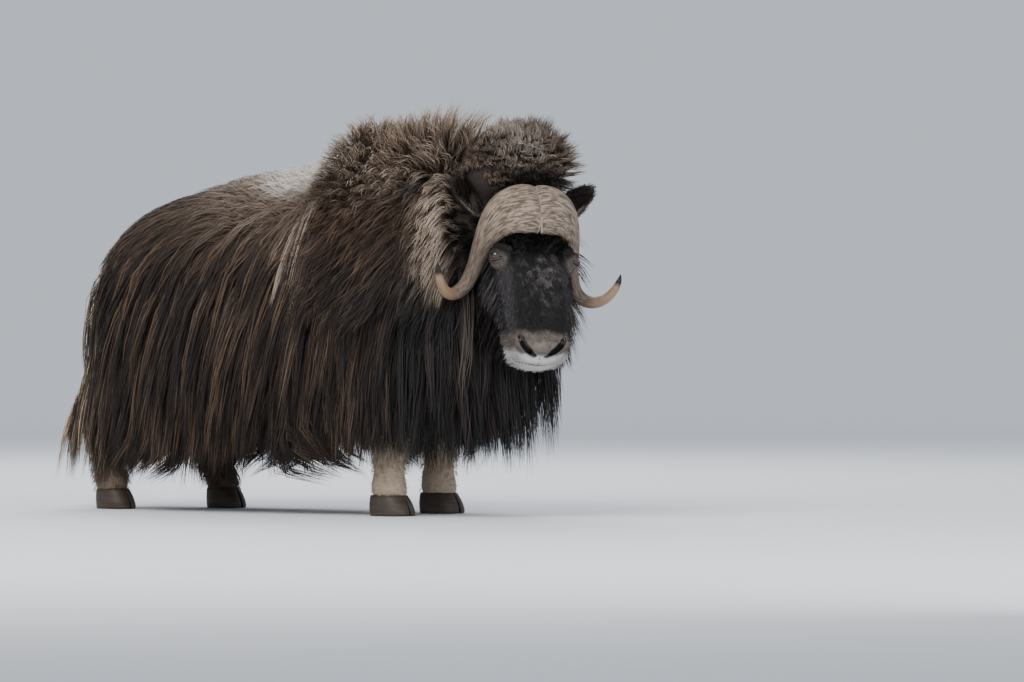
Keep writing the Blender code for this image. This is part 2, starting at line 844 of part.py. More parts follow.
def lock_shape(line, width, thickness, wave, turn):
    """A flat lock along line: three edges, widest a third of the way along, running to a point."""
    points = [point for point, _ in line]
    outs = [out for _, out in line]
    stations = []
    for t in LOCK_STATIONS:
        point = Vector(curve_through(points, t))
        ahead = Vector(curve_through(points, t + 0.05)) - Vector(curve_through(points, t - 0.05))
        ahead.normalize()
        out = Vector(curve_through(outs, t))
        out = (out - ahead * out.dot(ahead)).normalized()
        side = ahead.cross(out)
        bent = point + side * (wave * math.sin(turn + 4.2 * t) * t)
        stations.append((t, bent, side, out))
    rings = []
    for (t, point, side, out), share in zip(stations, LOCK_WIDTHS):
        wide, thick = width / 2 * share, thickness * (0.55 + 0.45 * share)
        rings.append([point + side * wide, point + out * thick, point - side * wide])
    tip = stations[-1][1]
    return loft(rings[:-1], end=tip)


def lock(core, root, way, length, width, lift, pull, thickness=0.014):
    length *= random.uniform(0.94, 1.06)
    width *= random.uniform(0.92, 1.03)
    line = lock_line(core, root, way, length, lift, pull)
    shape = lock_shape(line, width, thickness, random.uniform(-0.02, 0.02), random.uniform(0, 6.28))
    return to_object(shape, "lock", "guard_hair")


def torso_locks(core):
    """Tiers of locks down both flanks and round the rump, with a row along the back."""
    locks = []
    for tier, (height, length, lift, width, spacing) in enumerate(FLANK_TIERS):
        front = neck_plane_x(height) - 0.060
        count = round((front - RUMP_TURN) / spacing)
        for side in (1, -1):
            for k in range(count):
                x = front - (front - RUMP_TURN) * (k + 0.5 * (tier % 2)) / count
                root = flank_root(core, x, side, height)
                sweep = FLANK_SWEEP * ease(0.3 + (front - x) / SWEEP_FROM)
                locks.append(lock(core, root, Vector((-sweep, 0, -1)), length, width, lift, FLANK_PULL))
    height, first, last, count, length, lift = SHOULDER_TIER
    for side in (1, -1):
        for k in range(count):
            root = flank_root(core, first + (last - first) * k / (count - 1), side, height)
            locks.append(lock(core, root, Vector((-FLANK_SWEEP, 0, -1)), length, 0.124, lift, FLANK_PULL))
    for height, length, lift, count in RUMP_TIERS:
        for k in range(count):
            angle = math.pi * ((k + 0.5) / count - 0.5)
            ray = Vector((-math.cos(angle), math.sin(angle), 0))
            root = core.seen_from(Vector((RUMP_TURN, 0, height)) + ray * 0.9, -ray)
            if root:
                locks.append(lock(core, root[0], DOWN + ray * 0.8, length, 0.118, lift, FLANK_PULL * 0.7))
    for k in range(BACK_LOCKS):
        x = BACK_FROM + (BACK_TO - BACK_FROM) * k / (BACK_LOCKS - 1)
        for side in (1, -1):
            root = core.seen_from(Vector((x - 0.03 * side, 0.036 * side, 2.0)), DOWN)
            way = Vector((-0.9, side * 0.30, 0))
            locks.append(lock(core, root[0], way, BACK_LENGTH, 0.125, BACK_LIFT, 3.0, 0.018))
    return locks


def flank_root(core, x, side, height):
    """The place on the side of the body at X and a height."""
    start = Vector((x, 0.9 * side, height + random.uniform(-0.015, 0.015)))
    return core.seen_from(start, Vector((0, -side, 0)))[0]


def neck_plane_x(height):
    """Where the joint of torso and neck lies at a height."""
    (x, _, z), _, lean = SHOULDER_SECTIONS[-1][:3]
    return x - (height - z) * math.tan(math.radians(lean))


def between(low, high, f):
    """A leaning section a share f of the way from low to high."""
    centre = tuple(a + (b - a) * f for a, b in zip(low[0], high[0]))
    return (centre, *(a + (b - a) * f for a, b in zip(low[1:], high[1:])))


def neck_station(f):
    """The neck's section at f, 0 at the torso to 1 at the head."""
    spans = len(NECK_SECTIONS) - 1
    k = min(int(f * spans), spans - 1)
    return between(NECK_SECTIONS[k], NECK_SECTIONS[k + 1], f * spans - k)


def neck_point(f, degrees):
    """Point, outward and forward directions on the neck, degrees round from the top to its left."""
    centre, turn, lean, rise, fall, half_width = neck_station(f)
    facing = Matrix.Rotation(math.radians(turn), 3, "Z")
    left = facing @ Vector((0, 1, 0))
    upward = facing @ Vector((-math.sin(math.radians(lean)), 0, math.cos(math.radians(lean))))
    across, up = egg(math.radians(degrees) % (2 * math.pi), half_width, rise, fall, 2.05, 2.2)
    point = Vector(centre) + left * across + upward * up
    out = (left * across / half_width + upward * up / (rise if up > 0 else fall)).normalized()
    return point, out, left.cross(upward)


def standing_line(point, out, ahead, heading, length, stand, pull, steps=10):
    """A line that leaves point along heading and falls, with the way its flat side faces."""
    stride = length / steps
    face = out * (1.2 - stand) + ahead * stand
    place = point - out * ROOT_DEPTH
    line = [(place.copy(), face)]
    for _ in range(steps):
        place = place + heading * stride
        if place.z < LOWEST_HAIR:
            break
        heading = (heading + DOWN * (pull * stride)).normalized()
        line.append((place.copy(), (face - heading * face.dot(heading)).normalized()))
    return line


def mane_lock(f, degrees, way, length, width, stand, pull):
    """A lock that stands on the neck and bends over."""
    point, out, ahead = neck_point(f, degrees)
    round_it = ahead.cross(out) * math.sin(math.radians(degrees))
    heading = (out * stand + ahead * way[0] + round_it * way[1] + DOWN * -way[2]).normalized()
    length *= random.uniform(0.92, 1.08)
    line = standing_line(point, out, ahead, heading, length, stand, pull)
    shape = lock_shape(line, width, 0.016, random.uniform(-0.03, 0.03), random.uniform(0, 6.28))
    return to_object(shape, "lock", "guard_hair")


def neck_locks():
    """The hump's mane, the ruff round the face, the crown behind the horns, throat and chest."""
    locks = []
    for f, first, last, count, way, length, width, stand, pull in MANE_ROWS:
        for k in range(count):
            degrees = first + (last - first) * k / (count - 1) + random.uniform(-3, 3)
            locks.append(mane_lock(f, degrees, way, length, width, stand, pull))
    return locks


def head_locks():
    """The beard along both sides of the jaw and under it."""
    locks = []
    for along, length, width in BEARD_ROWS:
        for side in (-1, 0, 1):
            depth = -0.118 if side else -0.150
            place = (along, near_side(depth, along) * side, depth) if side else (along, 0.0, throat_at(along))
            point = on_head(place)
            out = (LEFT * side - OUT * (0.5 if side else 1.0)).normalized()
            heading = (DOWN + out * 0.35).normalized()
            long = length * (0.85 if side else 1.0)
            line = standing_line(point, out, OUT, heading, long * random.uniform(0.92, 1.08), 0.2, 4.0)
            shape = lock_shape(line, width, 0.014, random.uniform(-0.02, 0.02), random.uniform(0, 6.28))
            locks.append(to_object(shape, "lock", "guard_hair"))
    return locks


def throat_at(along):
    """Height of the underside of the jaw at a place along the face."""
    for low, high in zip(HEAD_SECTIONS, HEAD_SECTIONS[1:]):
        if low[0] <= along <= high[0]:
            return low[2] + (high[2] - low[2]) * (along - low[0]) / (high[0] - low[0])


def place_on_floor(things):
    """Moves everything so that the middle of the model's box, on the floor, is the origin."""
    low, high = Vector((9, 9, 9)), Vector((-9, -9, -9))
    for thing in things:
        for vertex in thing.data.vertices:
            for k in range(3):
                low[k] = min(low[k], vertex.co[k])
                high[k] = max(high[k], vertex.co[k])
    move = Vector((-(low.x + high.x) / 2, -(low.y + high.y) / 2, -low.z))
    for thing in things:
        for vertex in thing.data.vertices:
            vertex.co += move
        thing.data.update()


def main():
    start_clean()
    head = head_body()
    rooms = join_with_room(head, head_locks())
    eyes = [to_object(eye_ball(side), side_name("eye", side), "eye") for side in (1, -1)]
    cut(head, [grown(eye) for eye in eyes])
    horns = [horn(1), horn(-1)]
    ears = [ear(1), ear(-1)]
    rooms += [grown(thing, GAP / 2) for thing in horns + ears]
    for thing in horns + ears:
        cut(thing, [grown(head)])
    for thing in ears:
        cut(thing, [grown(one) for one in horns])
    legs = [leg(name, FORE_LEG if name.startswith("fore") else HIND_LEG) for name in FEET]
    hooves = [hoof(name, FORE_HOOF if name.startswith("fore") else HIND_HOOF) for name in FEET]
    torso = to_object(torso_core(), "torso", "guard_hair")
    rooms += join_with_room(torso, torso_locks(Core(trunk_guide())))
    tail = tail_stub()
    cut(torso, [grown(thing) for thing in [tail, *legs]])
    neck = to_object(neck_core(), "neck", "mane_hair")
    join(neck, neck_locks())
    merge_slivers(neck)
    cut_round(neck, [head, torso, *horns, *ears, *legs], rooms)
    place_on_floor([head, neck, torso, tail, *eyes, *horns, *ears, *legs, *hooves])


main()
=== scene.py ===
"""The looks of a life-size muskox bull: its skin, hair, eyes, horns and hooves.

Everything is modelled in the body's own directions: +X the way it faces, +Y its left, +Z up,
from the point on the floor midway between its feet. place() moves a mesh to the frame.
"""

import math

import bmesh
import bpy
import numpy as np
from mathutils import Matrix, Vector
from mathutils.bvhtree import BVHTree
from mathutils.kdtree import KDTree


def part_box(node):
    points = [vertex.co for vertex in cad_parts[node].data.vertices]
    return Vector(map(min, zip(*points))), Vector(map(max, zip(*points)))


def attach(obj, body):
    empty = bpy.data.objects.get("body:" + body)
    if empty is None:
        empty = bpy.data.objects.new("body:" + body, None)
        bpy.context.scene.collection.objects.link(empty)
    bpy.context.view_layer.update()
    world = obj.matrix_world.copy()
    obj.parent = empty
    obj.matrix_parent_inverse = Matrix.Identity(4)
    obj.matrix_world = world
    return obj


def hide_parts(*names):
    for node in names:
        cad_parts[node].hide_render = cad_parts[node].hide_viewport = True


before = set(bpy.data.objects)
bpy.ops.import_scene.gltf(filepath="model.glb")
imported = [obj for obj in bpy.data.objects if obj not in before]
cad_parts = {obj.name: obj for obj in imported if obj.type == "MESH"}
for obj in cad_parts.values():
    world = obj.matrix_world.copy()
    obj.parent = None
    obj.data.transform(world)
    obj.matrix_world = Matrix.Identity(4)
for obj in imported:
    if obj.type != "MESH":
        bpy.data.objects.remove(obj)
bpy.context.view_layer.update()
SEED = 20
random = np.random.default_rng(SEED)

UP = np.array((0.0, 0.0, 1.0))
FORWARD = np.array((1.0, 0.0, 0.0))

# Trunk sections from the rump to the head: centre, turn and lean back in degrees, rise, fall,
# half width
TRUNK = (
    (-0.700, 0.000, 0.700, 0, 0, 0.160, 0.140, 0.110),
    (-0.640, 0.000, 0.700, 0, 0, 0.235, 0.220, 0.195),
    (-0.540, 0.000, 0.700, 0, 0, 0.310, 0.260, 0.265),
    (-0.380, 0.000, 0.700, 0, 0, 0.365, 0.275, 0.315),
    (-0.120, 0.000, 0.710, 0, 0, 0.405, 0.290, 0.340),
    (0.120, 0.000, 0.720, 0, 0, 0.425, 0.300, 0.345),
    (0.300, 0.000, 0.730, 0, 0, 0.470, 0.310, 0.340),
    (0.430, 0.000, 0.860, 0, 10, 0.425, 0.430, 0.335),
    (0.570, -0.004, 0.865, -3, 20, 0.450, 0.415, 0.310),
    (0.710, -0.020, 0.885, -12, 25, 0.405, 0.360, 0.265),
    (0.840, -0.045, 0.920, -20, 25, 0.335, 0.285, 0.210),
    (0.940, -0.078, 0.950, -28, 20, 0.235, 0.210, 0.150),
)
RUMP_END = (-0.725, 0.0, 0.700)

# The head: the point midway between the eyes, and how it is turned, hung and tilted
EYE_LINE = np.array((1.135, -0.150, 0.873))
HEAD_TURN = math.radians(-36.0)
HEAD_DROP = math.radians(62.0)
HEAD_TILT = math.radians(3.5)

# Head sections from the poll to the lips, in the head's own directions: along the face,
# forehead height, throat height, half width, height of the widest point
HEAD = (
    (-0.255, -0.020, -0.125, 0.075, -0.070),
    (-0.215, 0.022, -0.165, 0.115, -0.062),
    (-0.150, 0.050, -0.200, 0.132, -0.058),
    (-0.080, 0.058, -0.225, 0.134, -0.052),
    (-0.020, 0.056, -0.240, 0.134, -0.050),
    (0.050, 0.052, -0.238, 0.132, -0.052),
    (0.125, 0.047, -0.212, 0.125, -0.056),
    (0.200, 0.043, -0.178, 0.114, -0.058),
    (0.260, 0.033, -0.155, 0.105, -0.058),
    (0.305, 0.012, -0.148, 0.099, -0.062),
    (0.335, -0.018, -0.143, 0.087, -0.072),
    (0.353, -0.050, -0.132, 0.064, -0.085),
)
HEAD_BACK = (-0.268, 0.0, -0.072)
HEAD_FRONT = (0.362, 0.0, -0.090)
FACE_FUR = 0.006

# One horn from the midline of the forehead to its tip: place on the head, half width, half depth
HORN = (
    (-0.145, 0.004, 0.085, 0.088, 0.034),
    (-0.145, 0.035, 0.090, 0.092, 0.040),
    (-0.142, 0.078, 0.080, 0.088, 0.038),
    (-0.129, 0.115, 0.052, 0.076, 0.033),
    (-0.100, 0.143, 0.005, 0.056, 0.029),
    (-0.060, 0.160, -0.050, 0.039, 0.026),
    (-0.015, 0.173, -0.100, 0.030, 0.0235),
    (0.028, 0.193, -0.138, 0.0265, 0.0220),
    (0.056, 0.222, -0.152, 0.0250, 0.0210),
    (0.073, 0.255, -0.140, 0.0230, 0.0200),
    (0.073, 0.286, -0.112, 0.0195, 0.0175),
    (0.056, 0.310, -0.080, 0.0155, 0.0140),
    (0.034, 0.322, -0.057, 0.0105, 0.0098),
    (0.014, 0.326, -0.040, 0.0020, 0.0020),
)

# Eye and lids on the head: the lids open to an almond, turned by EYE_TURN to lie level
EYE_CENTRE = (0.003, 0.133, 0.017)
EYE_RADIUS = 0.0215
EYE_FACING = (0.12, 0.80, 0.58)
EYE_TURN = math.radians(58.0)
ORBIT_HALF = (0.031, 0.042, 0.044)
ORBIT_SINK = 0.022
LID_DEPTH = 0.0042
EYE_OPENING = (0.0165, 0.0098)

# Ear: root, tip, where its cup faces, half width and depth, width from root to tip
EAR_ROOT = (-0.203, 0.118, -0.088)
EAR_TIP = (-0.305, 0.258, -0.006)
EAR_FACING = (-0.25, 0.30, 0.92)
EAR_HALF_WIDTH = 0.044
EAR_HALF_DEPTH = 0.024
EAR_SHAPE = ((0.0, 0.55), (0.25, 0.92), (0.5, 1.0), (0.75, 0.72), (0.92, 0.38), (1.0, 0.06))

# How far in front of an ear the layers of points lie that long hair keeps clear of
EAR_ROOM = (0.0, 0.035, 0.070)

# Middle of the patch of short dark down on each side of the neck, given on the head
NECK_DOWN = (-0.362, 0.290, -0.160)

# Mouth and nostrils on the head
MOUTH_SIDE = ((0.238, -0.100), (0.270, -0.094), (0.300, -0.088), (0.325, -0.082), (0.342, -0.078))
MOUTH_FRONT = (0.362, -0.074)
NOSTRIL_TOP = (0.299, 0.074, 0.001)
NOSTRIL_LOW = (0.336, 0.021, -0.031)

# Feet; legs from top to hoof: height, offset forward, half width, half depth; hooves from the
# floor up: height, share of the half sizes, and how far back
FEET = {
    "fore_right": (0.545, -0.155),
    "fore_left": (0.535, 0.150),
    "hind_right": (-0.640, -0.155),
    "hind_left": (-0.385, 0.145),
}
FORE_LEG = (
    (0.620, -0.020, 0.080, 0.105),
    (0.430, -0.010, 0.070, 0.088),
    (0.330, 0.002, 0.058, 0.066),
    (0.260, 0.008, 0.059, 0.064),
    (0.190, 0.000, 0.050, 0.054),
    (0.130, -0.004, 0.052, 0.058),
    (0.095, -0.002, 0.058, 0.066),
    (0.060, 0.000, 0.052, 0.058),
)
HIND_LEG = (
    (0.620, 0.120, 0.085, 0.100),
    (0.450, 0.035, 0.074, 0.090),
    (0.370, -0.036, 0.056, 0.068),
    (0.300, -0.050, 0.052, 0.060),
    (0.210, -0.034, 0.046, 0.054),
    (0.140, -0.020, 0.048, 0.056),
    (0.095, -0.008, 0.054, 0.062),
    (0.056, -0.004, 0.046, 0.052),
)
FORE_HOOF = (0.066, 0.078)
HIND_HOOF = (0.058, 0.070)
HOOF_FORWARD = 0.010
HOOF_TOP = 0.071
HOOF_SECTIONS = (
    (0.0, 0.97, 0.0),
    (0.012, 1.0, 0.0),
    (0.040, 0.95, 0.006),
    (0.062, 0.86, 0.012),
    (HOOF_TOP, 0.80, 0.014),
)

# Tail, root to tip: place and radius
TAIL = (
    (-0.640, 0.0, 0.900, 0.040),
    (-0.715, 0.0, 0.870, 0.038),
    (-0.760, 0.0, 0.800, 0.032),
    (-0.782, 0.0, 0.730, 0.022),
    (-0.790, 0.0, 0.690, 0.006),
)

# The mass of wool between the horns and the hump: centre, turn in degrees, and its half sizes
# ahead, across and up
CROWN_CENTRE = (0.980, -0.045, 1.165)
CROWN_TURN = math.radians(-28.0)
CROWN_HALF = (0.110, 0.172, 0.132)

# The rounded front of the neck behind the jaw
THROAT_CENTRE = (0.895, -0.062, 0.950)
THROAT_HALF = (0.120, 0.150, 0.225)

# How square the sections are above and how keeled below; 2 is round
TRUNK_SHAPE = (2.05, 2.25)
HEAD_SHAPE = (2.7, 1.9)
HOOF_SHAPE = (2.5, 2.3)

# Cell sizes of the even surfaces that pieces are fused into
BODY_CELL = 0.014
HEAD_CELL = 0.0034
HOOF_CELL = 0.0032

# Points round a horn and round a hoof, and how much the lower lid opens for the upper one
HORN_SIDES = 72
HOOF_SIDES = 64
LOWER_LID = 0.85

# How near the floor the longest hair comes, under the rump and under the chest
LOWEST_HAIR = (0.030, 0.105)
ROOT_DEPTH = 0.004

# Camera: how far it is turned from the animal's right side and raised, how far off it is, what
# width it shows, and the middle of the view, ahead of the feet and over the floor
VIEW_TURN = math.radians(35.0)
VIEW_RISE = math.radians(1.0)
VIEW_DISTANCE = 30.0
VIEW_WIDTH = 3.533
SENSOR_WIDTH = 36.0
FLOOR_REACH = 16.0
VIEW_SHIFT, VIEW_HEIGHT = 0.773, 0.587
VIEW_CENTRE = (VIEW_SHIFT * math.cos(VIEW_TURN), VIEW_SHIFT * math.sin(VIEW_TURN), VIEW_HEIGHT)


# Directions and curves


def unit(vectors):
    vectors = np.asarray(vectors, float)
    return vectors / np.maximum(np.linalg.norm(vectors, axis=-1, keepdims=True), 1e-9)


def dot(a, b):
    return np.sum(a * b, axis=-1, keepdims=True)


def ease(t):
    """0 to 1, level at both ends."""
    t = np.clip(t, 0.0, 1.0)
    return t * t * (3.0 - 2.0 * t)


def ramp(value, low, high):
    return ease((np.asarray(value, float) - low) / (high - low))


def head_directions():
    """Along the face towards the lips, to the animal's left, and out of the forehead."""
    ahead = np.array((math.cos(HEAD_TURN), math.sin(HEAD_TURN), 0.0))
    left = np.array((-math.sin(HEAD_TURN), math.cos(HEAD_TURN), 0.0))
    tilted_left = left * math.cos(HEAD_TILT) - UP * math.sin(HEAD_TILT)
    tilted_up = UP * math.cos(HEAD_TILT) + left * math.sin(HEAD_TILT)
    along = ahead * math.cos(HEAD_DROP) - tilted_up * math.sin(HEAD_DROP)
    out = ahead * math.sin(HEAD_DROP) + tilted_up * math.cos(HEAD_DROP)
    return np.array((along, tilted_left, out))


HEAD_AXES = head_directions()
ALONG, LEFT, OUT = HEAD_AXES


def on_head(places):
    """Points given along the face, to the left and out of the forehead."""
    return EYE_LINE + np.asarray(places, float) @ HEAD_AXES


def head_way(direction):
    return unit(np.asarray(direction, float) @ HEAD_AXES)


def mirrored(place, side):
    return (place[0], place[1] * side, place[2])


def through(rows, per_span):
    """Rows of numbers on a smooth curve through the given rows, per_span to each stretch."""
    rows = np.asarray(rows, float)
    padded = np.vstack([rows[:1], rows, rows[-1:]])
    found = []
    for k in range(len(rows) - 1):
        a, b, c, d = padded[k : k + 4]
        for f in np.arange(per_span) / per_span:
            slope_b, slope_c = (c - a) / 2, (d - b) / 2
            found.append(
                b * (2 * f**3 - 3 * f**2 + 1)
                + slope_b * (f**3 - 2 * f**2 + f)
                + c * (3 * f**2 - 2 * f**3)
                + slope_c * (f**3 - f**2)
            )
    return np.array(found + [rows[-1]])


def egg(angles, half_width, rise, fall, squareness, keel):
    """Across and up on a section, angle 0 at the top: square-shouldered above, keeled below."""
    s, c = np.sin(angles), np.cos(angles)
    power = 2.0 / np.where(c >= 0, squareness, keel)
    across = half_width * np.sign(s) * np.abs(s) ** power
    up = np.where(c >= 0, rise, -fall) * np.abs(c) ** power
    return across, up


def round_angles(count):
    return np.linspace(-math.pi, math.pi, count, endpoint=False)


# Forms: closed surfaces on a grid, which also give the hair its roots


class Form:
    """A closed surface through rings of points. Its pole at either end may be given."""

    def __init__(self, rings, start=None, end=None):
        self.grid = np.array(rings)
        self.rows, self.sides = self.grid.shape[:2]
        self.poles = (start, end)

    def mesh(self):
        points = list(self.grid.reshape(-1, 3))
        faces = []
        for row in range(self.rows - 1):
            for k in range(self.sides):
                after = (k + 1) % self.sides
                low, high = row * self.sides, (row + 1) * self.sides
                faces.append((low + k, low + after, high + after, high + k))
        for pole, row, order in ((self.poles[0], 0, -1), (self.poles[1], self.rows - 1, 1)):
            loop = [row * self.sides + k for k in range(self.sides)]
            centre = self.grid[row].mean(0) if pole is None else pole
            points.append(np.array(centre))
            for k in range(self.sides):
                pair = (loop[k], loop[(k + 1) % self.sides])[::order]
                faces.append((*pair, len(points) - 1))
        return points, faces

    def areas(self):
        edges = np.roll(self.grid, -1, axis=1)[:-1] - self.grid[:-1]
        return np.linalg.norm(np.cross(edges, self.grid[1:] - self.grid[:-1]), axis=-1)

    def sample(self, count):
        """Random places on the surface: points, and where they are along and round it, 0 to 1."""
        corner, area = self.grid, self.areas()
        beside = np.roll(corner, -1, axis=1)
        chosen = random.choice(area.size, count, p=(area / area.sum()).ravel())
        row, k = np.divmod(chosen, self.sides)
        f, g = random.random((2, count, 1))
        low = corner[row, k] * (1 - g) + beside[row, k] * g
        high = corner[row + 1, k] * (1 - g) + beside[row + 1, k] * g
        points = low * (1 - f) + high * f
        along = (row + f[:, 0]) / (self.rows - 1)
        about = (k + g[:, 0]) / self.sides
        return points, along, about


def trunk_form():
    rings = []
    angles = round_angles(128)
    for x, y, z, turn, lean, rise, fall, half_width in through(TRUNK, 10):
        turn, lean = math.radians(turn), math.radians(lean)
        left = np.array((-math.sin(turn), math.cos(turn), 0.0))
        facing = np.array((math.cos(turn), math.sin(turn), 0.0))
        upward = UP * math.cos(lean) - facing * math.sin(lean)
        across, up = egg(angles, half_width, rise, fall, *TRUNK_SHAPE)
        rings.append(np.array((x, y, z)) + across[:, None] * left + up[:, None] * upward)
    return Form(rings, start=RUMP_END)


def head_form():
    rings = []
    angles = round_angles(128)
    for along, forehead, throat, half_width, widest in through(HEAD, 10):
        shrink = FACE_FUR * float(ramp(along, 0.28, 0.16))
        rise, fall = forehead - widest - shrink, widest - throat - shrink
        across, up = egg(angles, half_width - shrink, rise, fall, *HEAD_SHAPE)
        rings.append(on_head(vectors(along, across, widest + up)))
    return Form(rings, on_head(HEAD_BACK), on_head(HEAD_FRONT))


def leg_form(name):
    foot_x, foot_y = FEET[name]
    rings = []
    angles = round_angles(48)
    rows = FORE_LEG if "fore" in name else HIND_LEG
    for height, forward, half_width, half_depth in through(rows, 6):
        middle = np.array((foot_x + forward, foot_y, height))
        ahead, across = half_depth * np.cos(angles), half_width * np.sin(angles)
        rings.append(middle + vectors(ahead, across, 0.0))
    return Form(rings)


def swept(points, sizes, first_side, sides=32, start=None, end=None):
    """A form of elliptic sections along points. Each size is a half width and half depth."""
    points = np.asarray(points, float)
    angles = round_angles(sides)
    side = np.asarray(first_side, float)
    rings = []
    for k, (point, (wide, deep)) in enumerate(zip(points, sizes)):
        ahead = unit(points[min(k + 1, len(points) - 1)] - points[max(k - 1, 0)])
        side = unit(side - ahead * side.dot(ahead))
        face = np.cross(ahead, side)
        across = np.cos(angles)[:, None] * wide * side
        rings.append(point + across + np.sin(angles)[:, None] * deep * face)
    return Form(rings, start, end)


def bead(centre, radii, directions, rings=20, sides=32):
    """An ellipsoid with the given radii along three directions."""
    polar = math.pi * np.arange(1, rings)[:, None, None] / rings
    angles = round_angles(sides)[None, :, None]
    grid = (
        centre
        + directions[0] * (radii[0] * np.cos(polar))
        + directions[1] * (radii[1] * np.sin(polar) * np.cos(angles))
        + directions[2] * (radii[2] * np.sin(polar) * np.sin(angles))
    )
    return Form(grid, centre + directions[0] * radii[0], centre - directions[0] * radii[0])


def tail_form():
    rows = through(TAIL, 5)
    return swept(rows[:, :3], [(r, r * 0.8) for r in rows[:, 3]], (0, 1, 0), 32)


def neck_bead(centre, halves):
    """A rounded mass, its half sizes given ahead along the neck, across and up."""
    ahead = np.array((math.cos(CROWN_TURN), math.sin(CROWN_TURN), 0.0))
    across = np.array((-math.sin(CROWN_TURN), math.cos(CROWN_TURN), 0.0))
    long, wide, tall = halves
    return bead(centre, (tall, long, wide), (UP, ahead, across), 36, 64)


def crown_form():
    return neck_bead(CROWN_CENTRE, CROWN_HALF)


def throat_form():
    return neck_bead(THROAT_CENTRE, THROAT_HALF)


def ear_frame(side):
    root, tip = on_head(mirrored(EAR_ROOT, side)), on_head(mirrored(EAR_TIP, side))
    axis = unit(tip - root)
    opening = head_way(mirrored(EAR_FACING, side))
    opening = unit(opening - axis * opening.dot(axis))
    return root, tip, axis, opening, np.cross(axis, opening)


def ear_forms(side):
    """The outside of one ear and the hollow in it."""
    root, tip, axis, opening, across = ear_frame(side)
    outer, inner, sizes, hollow = [], [], [], []
    for t, share in through(EAR_SHAPE, 5):
        point = root + (tip - root) * t - opening * (0.010 * math.sin(math.pi * min(t, 1.0)))
        wide, deep = EAR_HALF_WIDTH * share, EAR_HALF_DEPTH * share
        outer.append(point)
        sizes.append((wide, deep))
        inner.append(point + opening * (deep * 0.62) + axis * 0.014)
        hollow.append((wide * 0.78, deep * 0.86))
    return swept(outer, sizes, across, 40, end=tip), swept(inner, hollow, across, 40)


def near_side(height, along):
    """How far to the side the head reaches at a height and a place along the face."""
    rows = np.array(HEAD)
    sizes = (np.interp(along, rows[:, 0], rows[:, k]) for k in range(1, 5))
    forehead, throat, half_width, widest = sizes
    if height >= widest:
        share, power = (height - widest) / (forehead - widest), HEAD_SHAPE[0]
    else:
        share, power = (widest - height) / (widest - throat), HEAD_SHAPE[1]
    return half_width * max(0.0, 1.0 - min(1.0, share) ** power) ** (1 / power)


def mouth_line(rise, sink):
    """The line between the lips from corner to corner, raised by rise and sunk by sink."""
    left = [(along, near_side(height + rise, along) - sink, height + rise) for along, height in MOUTH_SIDE]
    ahead, up = MOUTH_FRONT[0] - sink, MOUTH_FRONT[1] + rise
    bow = [(ahead - 0.003, 0.030, up), (ahead, 0.0, up), (ahead - 0.003, -0.030, up)]
    return on_head(through(left + bow + [mirrored(place, -1) for place in reversed(left)], 5))


def tube(points, radius, first_side=None, taper=1.0):
    """A round cord along points, thinner towards both ends where taper is less than 1."""
    t = np.linspace(-1, 1, len(points))
    radii = radius * (taper + (1 - taper) * np.sqrt(np.clip(1 - t**2, 0, 1)))
    side = OUT if first_side is None else first_side
    return swept(points, [(r, r) for r in radii], side, 16)


def eye_directions(side):
    """Out of the eye, across it from its inner corner, and up over it."""
    out = head_way(mirrored(EYE_FACING, side))
    down_face = unit(ALONG - out * ALONG.dot(out))
    to_brow = np.cross(out, down_face) * -side
    across = to_brow * math.sin(EYE_TURN) + down_face * math.cos(EYE_TURN)
    return out, across, to_brow * math.cos(EYE_TURN) - down_face * math.sin(EYE_TURN)


def fold_lines(paint, root):
    """1 in the creases of the eyelids, 0 elsewhere."""
    found = 0.0
    for side in (1, -1):
        eye = on_head(mirrored(EYE_CENTRE, side))
        out, across, over = eye_directions(side)
        offset = paint.vector("SUBTRACT", root, fixed(eye))
        along, up = paint.dotted(offset, across), paint.dotted(offset, over)
        near = paint.blob(root, fixed(eye + out * 0.016), (0.031, 0.031, 0.031), 0.3)
        for wide, tall in ((0.024, 0.0165), (0.023, -0.0140), (0.028, -0.0200)):
            apart = paint.math("ABSOLUTE", up - (1.0 - (along / wide) ** 2.0) * tall)
            found = found + paint.smooth(apart, 0.0022, 0.0004) * near
    return found


def lid_line(side, way, wide, tall, forward, radius=EYE_RADIUS):
    """A curve on the ball of the eye, over its middle for way 1 and under it for way -1."""
    out, across, over = eye_directions(side)
    eye = on_head(mirrored(EYE_CENTRE, side))
    t = np.linspace(-1, 1, 24)
    along, up = wide * t, tall * way * (1 - t**2)
    height = np.sqrt(np.maximum(radius**2 - along**2 - up**2, radius**2 * 0.05)) + forward
    return eye + along[:, None] * across + up[:, None] * over + height[:, None] * out


def eye_opening(side):
    """A solid almond that opens the lids."""
    out, across, over = eye_directions(side)
    eye = on_head(mirrored(EYE_CENTRE, side))
    wide, tall = EYE_OPENING
    t = np.concatenate([np.linspace(-1, 1, 24)[:-1], np.linspace(1, -1, 24)[:-1]])
    up = np.concatenate([1 - t[:23] ** 2, LOWER_LID * (t[23:] ** 2 - 1)])
    loop = t[:, None] * wide * across + up[:, None] * tall * over
    return Form([eye + out * 0.006 + loop, eye + out * 0.020 + loop, eye + out * 0.045 + loop * 1.25])


def nostril_line(side, rise=0.0, outward=0.0):
    top, low = np.array(mirrored(NOSTRIL_TOP, side)), np.array(mirrored(NOSTRIL_LOW, side))
    bow = np.array((0.006, (0.007 + outward) * side, 0.001 + rise))
    t = np.linspace(0, 1, 20)[:, None]
    return on_head(top + (0, outward * side, rise) + (low - top) * t + bow * (4 * t * (1 - t)))


